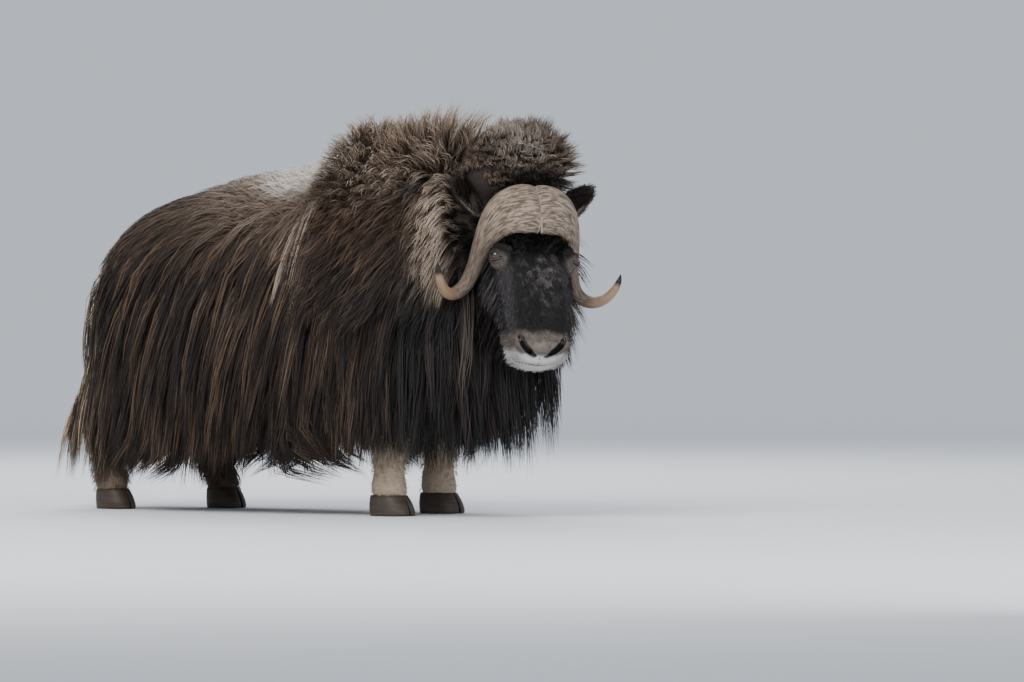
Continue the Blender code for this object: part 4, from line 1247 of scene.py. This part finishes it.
def muzzle_coat(skin):
    """Pale down on the lips and chin, with longer hair at the corners of the mouth."""
    parts = []
    for chart, form in enumerate(muzzle_pieces()[3:] + [head_form()]):
        more = Roots(skin, form, 0.0042, lambda p, a, d: in_head(p)[:, 0] > 0.25, 0.0025, chart)
        out = in_head(more.points)[:, 2]
        parts.append(more.only((out < -0.036) & (hollow_share(more.points, 1.7) < 0.1)))
    roots = gathered(parts)
    _, left, out = in_head(roots.points).T
    corner = ramp(abs(left), 0.035, 0.085)
    length = 0.005 + 0.016 * corner + 0.007 * ramp(out, -0.10, -0.14)
    length = length * random.uniform(0.7, 1.2, len(left))
    way = roots.out * 0.6 + (np.sign(left) * (0.3 + 0.5 * corner))[:, None] * LEFT - OUT * 0.4
    lines = combed(None, roots, way, length, 0.0, -UP * 9.0 - roots.out * 8.0, steps=4, depth=0.0005)
    return hair(roots, lines, "coat_muzzle", 4, 0.0035, 0.0010, rings=2, clump=0.1, wave=0.001, thick=0.3)


def cheek_coat(skin, head):
    """Long dark hair that hangs from the cheeks and the jaw."""

    def keep(p, a, d):
        along, _, out = in_head(p).T
        return (along > -0.14) & (along < 0.25) & (abs(d) > 84) & (abs(d) < 140) & (out < -0.035)

    roots = Roots(skin, head, 0.0135, keep, tolerance=0.030)
    along = in_head(roots.points)[:, 0]
    length = (0.035 + 0.085 * ramp(along, 0.20, -0.02)) * random.uniform(0.75, 1.1, len(along))
    way = roots.out * 0.6 + ALONG * 0.3 - UP * 0.7 - FORWARD * 0.2
    lines = combed(None, roots, way, length, 0.0, (-0.5, 0, -5.0), depth=0.002)
    roots, lines = clear_of(roots, lines, horn_and_ear_spots(), 0.040)
    return hair(roots, lines, "coat_cheek", 10, 0.011, 0.0022, clump=0.4, wave=0.006)


def poll_coat(skin, head):
    """Dark hair behind the horns and below the ears."""

    def keep(p, a, d):
        along = in_head(p)[:, 0]
        clear = np.ones(len(p), bool)
        for side in (1, -1):
            base, tip = ear_frame(side)[:2]
            t = np.clip(((p - base) @ (tip - base)) / ((tip - base) @ (tip - base)), 0, 1)
            clear &= np.linalg.norm(p - base - t[:, None] * (tip - base), axis=1) > 0.045
        return clear & (along < -0.10) & ((abs(d) < 150) & (along < -0.20) | (abs(d) > 60) & (abs(d) < 150))

    roots = Roots(skin, head, 0.0125, keep, tolerance=0.02)
    along, left, _ = in_head(roots.points).T
    top = ramp(abs(roots.degrees), 75, 45)
    way = roots.out * 0.6 + ALONG * (0.5 - 1.1 * top)[:, None] + UP * (0.3 * top)[:, None]
    length = random.uniform(0.035, 0.060, len(left))
    lines = combed(None, roots, way, length, 0.0, -UP * 5.0)
    roots, lines = clear_of(roots, lines, horn_and_ear_spots(), 0.040)
    return hair(roots, lines, "coat_poll", 10, 0.010, 0.0021, clump=0.35, wave=0.005)


def nape_coat(skin):
    """Short dark down on each side of the neck, under the ruff."""
    parts = []
    for chart, side in enumerate((1, -1)):
        patch = neck_bead(on_head(mirrored(NECK_DOWN, side)), (0.070, 0.070, 0.070))
        parts.append(Roots(skin, patch, 0.0095, tolerance=0.080, chart=chart))
    roots = gathered(parts)
    length = random.uniform(0.024, 0.038, len(roots))
    way = roots.out * 0.55 - UP * 0.4 - FORWARD * 0.2
    lines = combed(None, roots, way, length, 0.0, -UP * 5.0 - roots.out * 4.0, steps=4, depth=0.001)
    roots, lines = clear_of(roots, lines, horn_and_ear_spots(), 0.022)
    return hair(roots, lines, "coat_nape", 7, 0.011, 0.0026, rings=2, clump=0.2, wave=0.003)


def leg_coat(skin, legs):
    """Short hair down the legs to the hooves."""

    def keep(p, a, d):
        return p[:, 2] < 0.50

    roots = gathered([Roots(skin, leg, 0.0135, keep, chart=chart) for chart, leg in enumerate(legs)])
    z = roots.points[:, 2]
    length = (0.036 + 0.045 * ramp(z, 0.20, 0.42)) * random.uniform(0.8, 1.15, len(z))
    length = np.minimum(length, np.maximum(z - 0.028, 0.018))
    way = roots.out * 0.60 - UP
    lines = combed(None, roots, way, length, 0.0, roots.out * -2.0 - UP * 5.0, steps=5, depth=0.001)
    return hair(roots, lines, "coat_legs", 6, 0.010, 0.0027, rings=2, clump=0.30, wave=0.004, thick=0.9)


def ear_coat(skin):
    """Hair on the ears: short outside, long and pale in the cup."""
    parts = []
    for chart, side in enumerate((1, -1)):
        axis, opening = ear_frame(side)[2:4]
        for layer, form in enumerate(ear_forms(side)):
            keep = (lambda p, a, d: a < 0.6) if layer else None
            more = Roots(skin, form, 0.0062, keep, tolerance=0.006, chart=chart * 2 + layer)
            more.way = np.tile(axis + opening * (0.5 * layer), (len(more), 1)) + more.out * 0.3
            more.long = np.full(len(more), 0.016 + 0.016 * layer)
            parts.append(more)
    roots = gathered(parts)
    length = roots.long * random.uniform(0.8, 1.2, len(roots))
    lines = combed(None, roots, roots.way, length, 0.0, -UP * 4.0, steps=4, depth=0.001)
    return hair(roots, lines, "coat_ears", 4, 0.006, 0.0018, rings=2, clump=0.2, wave=0.002)


# Materials


class Value:
    """A number socket in a material, for use in Python expressions."""

    def __init__(self, paint, socket):
        self.paint, self.socket = paint, socket

    def math(self, operation, other=0.0, swapped=False):
        pair = (other, self) if swapped else (self, other)
        return self.paint.math(operation, *pair)

    def __add__(self, other):
        return self.math("ADD", other)

    def __sub__(self, other):
        return self.math("SUBTRACT", other)

    def __mul__(self, other):
        return self.math("MULTIPLY", other)

    def __truediv__(self, other):
        return self.math("DIVIDE", other)

    def __pow__(self, other):
        return self.math("POWER", other)

    def __rsub__(self, other):
        return self.math("SUBTRACT", other, swapped=True)

    __radd__ = __add__
    __rmul__ = __mul__


class Paint:
    """One material's nodes."""

    def __init__(self, name, **constants):
        self.material = bpy.data.materials.new(name)
        self.material.use_nodes = True
        self.tree = self.material.node_tree
        self.shader = self.tree.nodes["Principled BSDF"]
        for socket, value in constants.items():
            self.shader.inputs[socket.replace("_", " ")].default_value = value

    def node(self, kind, settings=None, inputs=None, output=0):
        """A node of this kind, its settings made first and then its sockets' values or links."""
        made = self.tree.nodes.new(kind)
        for key, value in (settings or {}).items():
            setattr(made, key, value)
        for key, value in (inputs or {}).items():
            self.feed(made.inputs[key], value)
        return made.outputs[output]

    def feed(self, socket, value):
        if isinstance(value, Value):
            value = value.socket
        if isinstance(value, bpy.types.NodeSocket):
            self.tree.links.new(value, socket)
        else:
            socket.default_value = value

    def number(self, socket):
        return Value(self, socket)

    def math(self, operation, *values):
        inputs = dict(enumerate(values))
        return self.number(self.node("ShaderNodeMath", {"operation": operation}, inputs))

    def stored(self, name):
        """A number kept for each vertex."""
        return self.number(self.node("ShaderNodeAttribute", {"attribute_name": name}, output=2))

    def stored_place(self, name):
        return self.node("ShaderNodeAttribute", {"attribute_name": name}, output=1)

    def axis(self, vector, name):
        return self.number(self.node("ShaderNodeSeparateXYZ", None, {0: vector}, "XYZ".index(name)))

    def smooth(self, value, low, high):
        """0 at low to 1 at high, level at both ends."""
        settings = {"interpolation_type": "SMOOTHSTEP"}
        return self.number(self.node("ShaderNodeMapRange", settings, {0: value, 1: low, 2: high}))

    def vector(self, operation, a, b):
        return self.node("ShaderNodeVectorMath", {"operation": operation}, {0: a, 1: b})

    def dotted(self, a, axis):
        """How far a reaches along an axis."""
        inputs = {0: a, 1: fixed(axis)}
        return self.number(self.node("ShaderNodeVectorMath", {"operation": "DOT_PRODUCT"}, inputs, 1))

    def length(self, a):
        return self.number(self.node("ShaderNodeVectorMath", {"operation": "LENGTH"}, {0: a}, 1))

    def blob(self, place, centre, radii, soft=0.5):
        """1 in the middle of an ellipsoid, falling to 0 at its edge."""
        offset = self.vector("SUBTRACT", place, tuple(centre))
        scaled = self.vector("DIVIDE", offset, tuple(radii))
        return self.smooth(self.length(scaled), 1.0, 1.0 - soft)

    def noise(self, place, scale, detail=3.0, roughness=0.5, distortion=0.0):
        inputs = {
            "Vector": place,
            "Scale": scale,
            "Detail": detail,
            "Roughness": roughness,
            "Distortion": distortion,
        }
        return self.number(self.node("ShaderNodeTexNoise", None, inputs))

    def mix(self, share, a, b):
        """Colour a where share is 0, b where it is 1. Either may be six hexadecimal digits."""
        a, b = (shade(colour) if isinstance(colour, str) else colour for colour in (a, b))
        return self.node("ShaderNodeMix", {"data_type": "RGBA"}, {0: share, 6: a, 7: b}, 2)

    def bump(self, height, strength, distance):
        inputs = {"Strength": strength, "Distance": distance, "Height": height}
        return self.node("ShaderNodeBump", None, inputs)

    def finish(self, **links):
        for socket, value in links.items():
            self.feed(self.shader.inputs[socket.replace("_", " ")], value)
        return self.material


def shade(text):
    """A colour from its six hexadecimal digits, as the shader reads it."""
    parts = [int(text[k : k + 2], 16) / 255 for k in (0, 2, 4)]
    return tuple(((c + 0.055) / 1.055) ** 2.4 if c > 0.04045 else c / 12.92 for c in parts) + (1.0,)


def fixed(place):
    return tuple(float(number) for number in place)


def head_place(paint, root):
    """Where a point is on the head: along the face, to the left and out of the forehead."""
    offset = paint.vector("SUBTRACT", root, fixed(EYE_LINE))
    parts = [paint.dotted(offset, axis) for axis in HEAD_AXES]
    return paint.node("ShaderNodeCombineXYZ", None, dict(enumerate(parts)))


def coat_colour(paint, root, share, tone, lock_tone):
    """The markings and some painted shade, the same for skin and hair: root is where a hair grows, share
    how far along.
    """
    x, z = paint.axis(root, "X"), paint.axis(root, "Z")
    drop = paint.stored("drop")
    hanging = paint.vector("SUBTRACT", root, paint.node("ShaderNodeCombineXYZ", None, {2: drop}))
    patches = paint.noise(root, 5.0, 2.0)
    streak = paint.smooth(tone * 0.5 + lock_tone * 0.5, 0.55, 0.90)

    long_dark = paint.mix(patches, "17110f", "2a201c")
    long_hair = paint.mix(streak * 0.9, long_dark, "65503f")
    upper = paint.smooth(z - drop + patches * 0.14, 0.84, 1.12)
    brown = paint.mix(tone, "2a211c", "5f4b3c")
    colour = paint.mix(upper * 0.85, long_hair, brown)

    rear = paint.blob(root, (-0.74, -0.05, 0.70), (0.42, 0.50, 0.42), 0.6)
    tan = paint.smooth(tone * 0.45 + lock_tone * 0.55, 0.38, 0.85)
    colour = paint.mix(rear * 0.85, colour, paint.mix(tan, "241c18", "c4aa8c"))

    withers = paint.blob(hanging, (0.14, 0.0, 1.12), (0.46, 0.46, 0.30), 0.7)
    colour = paint.mix(withers * 0.85, colour, paint.mix(tone, "5c4d41", "a28f7d"))
    saddle = paint.blob(hanging, (0.20, -0.06, 1.20), (0.31, 0.33, 0.20), 0.8)
    pale = paint.mix(tone, "aca197", "e4ded7")
    saddle = paint.smooth(saddle + (patches - 0.5) * 0.5, 0.05, 0.75)
    colour = paint.mix(saddle, colour, pale)

    hump = paint.smooth(x + z * 0.45, 0.84, 1.00) * paint.smooth(z, 1.02, 1.20)
    wool = paint.mix(tone, "806c5b", "dcc7b2")
    wool = paint.mix(paint.smooth(share, 0.15, 0.85), "362b23", wool)
    colour = paint.mix(hump, colour, wool)

    collar = paint.smooth(x, 0.74, 0.80) * paint.smooth(z + (patches - 0.5) * 0.1, 0.80, 0.92)
    frost = paint.mix(tone * 0.6 + lock_tone * 0.4, "6a584a", "d6c3ae")
    frost = paint.mix(paint.smooth(share, 0.25, 0.8), "241b17", frost)
    colour = paint.mix(collar, colour, frost)

    mop = paint.blob(root, (0.97, -0.04, 1.22), (0.20, 0.24, 0.20), 0.4)
    middle = paint.blob(root, (1.04, -0.10, 1.23), (0.17, 0.15, 0.13), 0.9)
    curls = paint.mix(tone * 0.6 + lock_tone * 0.4, "5a4b40", "cdc0b2")
    curls = paint.mix(middle, paint.mix(tone, "42352c", "85705e"), curls)
    curls = paint.mix(paint.smooth(share, 0.15, 0.7), "2d2420", curls)
    colour = paint.mix(mop, colour, curls)

    parting = paint.blob(root, (0.87, -0.07, 1.22), (0.07, 0.26, 0.16), 0.8)
    colour = paint.mix(parting * 0.75, colour, "1d1714")
    # Dark hair behind the horns, deepened with painted shade under the overhanging crown
    poll = paint.blob(root, fixed(on_head((-0.250, 0.0, 0.060))), (0.13, 0.20, 0.080), 0.6)
    colour = paint.mix(poll * 0.9, colour, paint.mix(tone, "12100f", "2c2522"))

    # Dark down on the sides of the neck, deepened with painted shade under the ruff
    for side in (1, -1):
        nape = paint.blob(root, fixed(on_head(mirrored(NECK_DOWN, side))), (0.075, 0.070, 0.080), 0.6)
        colour = paint.mix(nape * 0.9, colour, paint.mix(tone, "12100f", "332b27"))

    chest = paint.smooth(x, 0.50, 0.74) * paint.smooth(z, 0.90, 0.78)
    black = paint.mix(streak, "121011", "2c2523")
    colour = paint.mix(chest * 0.9, colour, black)
    behind_jaw = paint.blob(root, (0.985, -0.10, 0.96), (0.17, 0.24, 0.20), 0.4)
    return paint.mix(behind_jaw, colour, paint.mix(tone, "0f0d0d", "2e2724"))


def face_colour(paint, root, tone, colour):
    """The dark face, pale muzzle and the rings round the eyes, laid over the coat."""
    spot = head_place(paint, root)
    near_head = paint.blob(spot, (0.03, 0.0, -0.075), (0.37, 0.235, 0.235), 0.15)
    along, out = paint.axis(spot, "X"), paint.axis(spot, "Z")
    black = paint.mix(tone * 0.8, "0b0a0a", "2a2624")
    sides = paint.math("ABSOLUTE", paint.axis(spot, "Y"))
    cheek = paint.smooth(sides, 0.075, 0.105) * paint.smooth(along, -0.02, 0.06)
    face = paint.mix(cheek * 0.8, black, paint.mix(tone, "1d1b1c", "565254"))
    # Painted sheen: a mottled grey highlight laid over the black hair of the nose bridge
    bridge_sheen = paint.blob(spot, (0.07, 0.01, 0.05), (0.19, 0.13, 0.10), 0.9)
    patch = paint.smooth(paint.noise(root, 34.0, 5.0, 0.65), 0.44, 0.70) * bridge_sheen
    face = paint.mix(patch * 0.8, face, paint.mix(tone, "2a282a", "8d8785"))
    edge = (paint.noise(root, 40.0, 4.0) - 0.5) * 0.05
    muzzle = paint.smooth(along - out * 0.30 + edge, 0.262, 0.292)
    lips = paint.smooth(along - out * 0.9 + edge, 0.352, 0.384)
    skin_tone = paint.mix(paint.noise(root, 60.0), "3f3732", "857a71")
    white = paint.mix(paint.noise(root, 45.0), "aaa5a2", "e2dfdc")
    face = paint.mix(muzzle, face, paint.mix(lips, skin_tone, white))
    chin = paint.smooth(out, -0.128, -0.150) * muzzle
    face = paint.mix(chin * 0.8, face, "6d635c")
    for side in (1, -1):
        eye = np.array(mirrored(EYE_CENTRE, side))
        ring = paint.blob(spot, fixed(eye + (0.012, 0.0, -0.003)), (0.042, 0.042, 0.042), 0.5)
        lid_middle = fixed(on_head(eye) + eye_directions(side)[0] * 0.019)
        lids = paint.blob(root, lid_middle, (0.0215, 0.0215, 0.0215), 0.35)
        pale = paint.mix(paint.noise(root, 90.0), "382f2b", "8a7c72")
        face = paint.mix(ring * 0.75, face, pale)
        face = paint.mix(lids * 0.65, face, "1a1514")
    # Painted shade: the creases of the eyelids darkened to near black
    face = paint.mix(fold_lines(paint, root) * 0.8, face, "0e0b0b")
    return paint.mix(near_head, colour, face)


def ear_colour(paint, root, tone, colour):
    """Dark ears with a paler lower rim."""
    for side in (1, -1):
        base, tip, axis, opening, _ = ear_frame(side)
        middle = (base + tip) / 2
        offset = paint.vector("SUBTRACT", root, fixed(middle))
        across = paint.dotted(offset, np.cross(axis, opening))
        forward = paint.dotted(offset, opening)
        ear = paint.blob(root, fixed(middle + axis * 0.02), (0.14, 0.14, 0.14), 0.2)
        dark = paint.mix(tone, "120f0e", "3a302b")
        rim = paint.smooth(across * side, 0.020, 0.031) * paint.smooth(forward, -0.002, 0.006)
        rim = rim * paint.blob(root, fixed(middle), (0.09, 0.09, 0.09), 0.2)
        pale = paint.mix(tone, "665950", "b0a295")
        colour = paint.mix(ear, colour, paint.mix(rim * 0.8, dark, pale))
    return colour


def leg_colour(paint, root, tone, colour):
    """Pale forelegs, browner hind legs."""
    x, z = paint.axis(root, "X"), paint.axis(root, "Z")
    cream = paint.mix(tone, "7d6b59", "bcab96")
    hind = paint.mix(tone, "4a3b31", "8a7666")
    dark = paint.mix(tone, "2c2420", "645144")
    left_hind = paint.blob(root, (-0.385, 0.145, 0.20), (0.20, 0.13, 0.40), 0.3)
    shins = paint.mix(paint.smooth(x, 0.10, 0.0), cream, hind)
    shins = paint.mix(left_hind, shins, dark)
    return paint.mix(paint.smooth(z, 0.42, 0.27), colour, shins)


def coat_material(name, extra=()):
    """Hair with the coat's markings, and any further markings laid over them."""
    paint = Paint(name, Specular_IOR_Level=0.28, Roughness=0.62)
    root = paint.stored_place("root")
    share, tone, lock_tone = (paint.stored(key) for key in ("share", "tone", "lock_tone"))
    colour = coat_colour(paint, root, share, tone, lock_tone)
    for step in extra:
        colour = step(paint, root, tone, colour)
    return paint.finish(Base_Color=colour)


def skin_material():
    paint = Paint("skin", Specular_IOR_Level=0.3)
    root = paint.stored_place("root")
    grain = paint.noise(root, 160.0, 4.0)
    colour = coat_colour(paint, root, paint.stored("share"), grain, grain)
    for step in (leg_colour, ear_colour, face_colour):
        colour = step(paint, root, grain, colour)
    nose = paint.blob(head_place(paint, root), (0.330, 0.0, -0.020), (0.060, 0.060, 0.045), 0.4)
    # Painted shade: the insides of the nostrils and the line of the mouth darkened to near black
    colour = paint.mix(paint.stored("hollow"), colour, "0c0909")
    height = grain + paint.noise(root, 420.0, 2.0) * 0.5 - fold_lines(paint, root) * 2.5
    relief = paint.bump(height, 0.6, 0.002)
    return paint.finish(Base_Color=colour, Roughness=0.75 - nose * 0.3, Normal=relief)


def horn_material():
    paint = Paint("horn", Specular_IOR_Level=0.4)
    share = paint.stored("share")
    across = paint.stored_place("grain")
    fibres = paint.noise(across, 3.0, 6.0, 0.6, 0.25)
    cracks = paint.noise(across, 9.0, 3.0, 0.7, 1.2)
    boss = paint.mix(paint.smooth(fibres, 0.36, 0.66), "4c3f35", "9a8978")
    shaft = paint.mix(paint.smooth(fibres, 0.3, 0.7), "3d322b", "77675a")
    warm = paint.mix(fibres, "6a4d33", "b2967a")
    colour = paint.mix(paint.smooth(share, 0.24, 0.42), boss, shaft)
    colour = paint.mix(paint.smooth(share, 0.60, 0.78), colour, warm)
    colour = paint.mix(paint.smooth(share + fibres * 0.05, 0.90, 0.95), colour, "120e0c")
    colour = paint.mix(paint.smooth(cracks, 0.60, 0.72) * 0.5 * (1 - share), colour, "4a3a2e")
    colour = paint.mix(paint.smooth(share, 0.030, 0.004) * 0.7, colour, "ad9d8b")
    rough = 0.75 - paint.smooth(share, 0.4, 0.9) * 0.4
    relief = paint.bump(fibres + cracks * 0.6, 0.7, 0.003)
    return paint.finish(Base_Color=colour, Roughness=rough, Normal=relief)


def eye_material():
    paint = Paint("eye", Specular_IOR_Level=0.6, Roughness=0.06, Coat_Weight=1.0, Coat_Roughness=0.02)
    gaze = paint.stored_place("gaze")
    along, up, out = (paint.axis(gaze, name) for name in "XYZ")
    iris = paint.smooth(out, 0.70, 0.78)
    fibres = paint.noise(gaze, 30.0, 4.0)
    pupil_form = (along / 0.50) ** 2.0 + (up / 0.20) ** 2.0
    brown = paint.mix(fibres, "1c110b", "4b2f1c")
    colour = paint.mix(iris, "1b1512", brown)
    colour = paint.mix(paint.smooth(pupil_form, 1.1, 0.8) * iris, colour, "0d1420")
    return paint.finish(Base_Color=colour)


def hoof_material():
    paint = Paint("hoof", Specular_IOR_Level=0.4)
    root = paint.stored_place("root")
    rings = paint.noise(paint.vector("MULTIPLY", root, (12.0, 12.0, 160.0)), 1.0, 3.0)
    colour = paint.mix(rings, "1d1713", "4d4036")
    relief = paint.bump(rings, 0.4, 0.001)
    return paint.finish(Base_Color=colour, Roughness=0.65 - rings * 0.2, Normal=relief)


# Horns, eyes and hooves


def horn(side, finish):
    """One horn: a broad rough boss on the forehead that narrows into a smooth hook."""
    rows = through(HORN, 12)
    points = on_head(rows[:, :3] * (1, side, 1))
    made = swept(points, rows[:, 3:], ALONG, HORN_SIDES, end=points[-1])
    share = np.linspace(0, 1, len(rows))
    angles = round_angles(HORN_SIDES)
    grid = made.grid
    centres = grid.mean(1, keepdims=True)
    around = np.stack([np.cos(angles), np.sin(angles)], 1)
    rough = np.interp(share, (0, 0.25, 0.45, 1), (0.055, 0.045, 0.015, 0.0))
    waves = sum(
        np.sin(around @ random.normal(0, k * 1.7, 2) + share[:, None] * k * 7 + random.uniform(0, 6)) / k
        for k in range(2, 12)
    )
    made.grid = centres + (grid - centres) * (1 + (waves * rough[:, None] * 0.5)[..., None])
    name = "horn_left" if side > 0 else "horn_right"
    thing = joined([made], name + "_shape")
    middle = on_head((0.0, 0.0005 * side, 0.0))
    block = swept([middle, middle - LEFT * side * 0.3], [(0.6, 0.6)] * 2, ALONG, 4)
    cut(thing, joined([block], "block"))
    places = coordinates(thing.data)
    spots = KDTree(made.grid.shape[0] * HORN_SIDES)
    for k, spot in enumerate(made.grid.reshape(-1, 3)):
        spots.insert(spot, k)
    spots.balance()
    row, k = np.divmod([spots.find(spot)[1] for spot in places], HORN_SIDES)
    add_numbers(thing.data, "share", share[row])
    wide = 0.06 * (1.2 - share[row])
    across, up = wide * np.cos(angles[k]) * 60, wide * np.sin(angles[k]) * 60
    grain = vectors(share[row] * 0.75 * 9, across, up + side * 9)
    add_numbers(thing.data, "grain", grain, "FLOAT_VECTOR")
    return place(thing, finish, [name])


def eye(side, finish):
    out, across, over = eye_directions(side)
    centre = on_head(mirrored(EYE_CENTRE, side))
    ball = bead(centre, (EYE_RADIUS,) * 3, (out, across, over), 40, 64)
    offset = (ball.grid - centre) / EYE_RADIUS
    ahead = (offset @ out)[..., None]
    ball.grid = ball.grid + out * (0.0022 * ramp(ahead, 0.72, 1.0))
    ball.poles = (centre + out * (EYE_RADIUS + 0.0022), ball.poles[1])
    name = "eye_left" if side > 0 else "eye_right"
    thing = joined([ball], name + "_shape")
    gaze = unit(coordinates(thing.data) - centre) @ np.array((across, over, out)).T
    add_numbers(thing.data, "gaze", gaze, "FLOAT_VECTOR")
    return place(thing, finish, [name])


def hoof(name, finish):
    """Two toes side by side, parted by the cleft."""
    foot_x, foot_y = FEET[name]
    half_width, half_depth = FORE_HOOF if "fore" in name else HIND_HOOF
    angles = round_angles(HOOF_SIDES)
    rows = through(HOOF_SECTIONS, 5)
    toes = []
    for way in (1, -1):
        rings = []
        for height, share, back in rows:
            wide, deep = half_width * share, half_depth * share
            across, ahead = egg(angles, wide, deep, deep, *HOOF_SHAPE)
            cleft = 0.0025 + 0.004 * (ahead > -0.02) * (1 - height / 0.09)
            across = way * np.maximum(across * way, cleft)
            rings.append(vectors(foot_x + HOOF_FORWARD - back + ahead, foot_y + across, height))
        toes.append(Form(rings))
    thing = melted(joined(toes, "hoof_" + name + "_shape"), HOOF_CELL, 3)
    places = coordinates(thing.data)
    places[:, 2] = np.maximum(places[:, 2], 0.0)
    thing.data.vertices.foreach_set("co", places.ravel())
    add_numbers(thing.data, "root", places, "FLOAT_VECTOR")
    return place(thing, finish, ["hoof_" + name])


# The whole animal


def dress_skin(thing):
    """Gives the skin what its material reads, and puts it in place of the nodes of flesh."""
    places = coordinates(thing.data)
    add_numbers(thing.data, "root", places, "FLOAT_VECTOR")
    add_numbers(thing.data, "share", np.full(len(places), 0.25))
    # The hollow share marks where the skin material paints shade in the nostrils and the mouth
    add_numbers(thing.data, "hollow", hollow_share(places))
    nodes = ["head", "neck", "torso", "tail", "ear_left", "ear_right"]
    nodes += ["foreleg_left", "foreleg_right", "hindleg_left", "hindleg_right"]
    place(thing, skin_material(), nodes)


def grow_coat(body):
    """Every piece of the coat, in the order of its random draws."""
    skin, trunk, head = Skin(body), trunk_form(), head_form()
    legs = [leg_form(name) for name in FEET]
    trunk_coats = [back_coat(skin, trunk), rump_coat(skin, trunk), hump_coat(skin, trunk)]
    for side, word in ((1, "left"), (-1, "right")):
        trunk_coats.append(flank_coat(skin, trunk, side, "coat_flank_rear_" + word, -0.56, 0.02))
        trunk_coats.append(flank_coat(skin, trunk, side, "coat_flank_front_" + word, 0.02, 0.50))
        trunk_coats.append(shoulder_coat(skin, trunk, side))
    trunk_coats += [ruff_coat(skin, trunk), throat_coat(skin)]
    trunk_coats += [chest_coat(skin, trunk), belly_coat(skin, trunk)]
    body_hair = coat_material("body_hair")
    for thing in trunk_coats:
        place(thing, body_hair)
    head_hair = coat_material("head_hair", (ear_colour, face_colour))
    head_coats = [face_coat(skin, head), brow_coat(skin, head), orbit_coat(skin)]
    head_coats += [muzzle_coat(skin), cheek_coat(skin, head), poll_coat(skin, head)]
    for thing in head_coats:
        place(thing, head_hair)
    place(crown_coat(skin), body_hair)
    place(nape_coat(skin), body_hair)
    place(beard_coat(skin, head), body_hair)
    place(ear_coat(skin), coat_material("ear_hair", (ear_colour,)))
    place(leg_coat(skin, legs), coat_material("leg_hair", (leg_colour,)))


def area_light(name, spot, aim, size, power, colour=(1.0, 1.0, 1.0)):
    """A soft square light at spot, turned to aim."""
    light = bpy.data.lights.new(name, "AREA")
    light.energy, light.size, light.color = power, size, colour
    thing = bpy.data.objects.new(name, light)
    thing.location = spot
    thing.rotation_euler = (Vector(aim) - Vector(spot)).to_track_quat("-Z", "Y").to_euler()
    bpy.context.scene.collection.objects.link(thing)


def set_stage():
    """A pale floor that fades into the pale air round it, and soft light."""
    corners = [(-FLOOR_REACH, -FLOOR_REACH, 0), (FLOOR_REACH, -FLOOR_REACH, 0)]
    corners += [(FLOOR_REACH, FLOOR_REACH, 0), (-FLOOR_REACH, FLOOR_REACH, 0)]
    floor = as_object(corners, [(0, 1, 2, 3)], "floor")
    paint = Paint("floor", Roughness=0.9, Specular_IOR_Level=0.1)
    spot = paint.node("ShaderNodeNewGeometry")
    grain = paint.noise(spot, 6.0, 4.0)
    fade = paint.smooth(paint.length(spot), FLOOR_REACH * 0.9, FLOOR_REACH * 0.25)
    colour = paint.mix(grain, "dcdfe3", "e6e8ea")
    floor.data.materials.append(paint.finish(Base_Color=colour, Alpha=fade))
    world = bpy.data.worlds.new("sky")
    world.use_nodes = True
    world.node_tree.nodes["Background"].inputs["Color"].default_value = (0.80, 0.86, 0.95, 1.0)
    world.node_tree.nodes["Background"].inputs["Strength"].default_value = 0.75
    bpy.context.scene.world = world
    area_light("key", (1.0, -6.0, 6.5), (0.0, 0.0, 0.7), 5.0, 620.0, (1.0, 0.97, 0.93))
    area_light("fill", (6.0, -2.0, 2.5), (0.3, 0.0, 0.7), 5.0, 170.0, (0.93, 0.96, 1.0))
    area_light("rim", (-3.0, 4.0, 5.5), (0.0, 0.0, 0.9), 4.0, 330.0)


def set_camera():
    camera = bpy.data.cameras.new("view")
    camera.sensor_width = SENSOR_WIDTH
    camera.lens = SENSOR_WIDTH * VIEW_DISTANCE / VIEW_WIDTH
    camera.clip_end = 200.0
    thing = bpy.data.objects.new("view", camera)
    toward = Vector(
        (
            math.sin(VIEW_TURN) * math.cos(VIEW_RISE),
            -math.cos(VIEW_TURN) * math.cos(VIEW_RISE),
            math.sin(VIEW_RISE),
        )
    )
    thing.location = Vector(VIEW_CENTRE) + MOVE + toward * VIEW_DISTANCE
    thing.rotation_euler = (-toward).to_track_quat("-Z", "Y").to_euler()
    bpy.context.scene.collection.objects.link(thing)
    bpy.context.scene.camera = thing


body = whole_skin()
grow_coat(body)
dress_skin(body)
horn_finish, eye_finish, hoof_finish = horn_material(), eye_material(), hoof_material()
for side in (1, -1):
    horn(side, horn_finish)
    eye(side, eye_finish)
for name in FEET:
    hoof(name, hoof_finish)
set_stage()
set_camera()
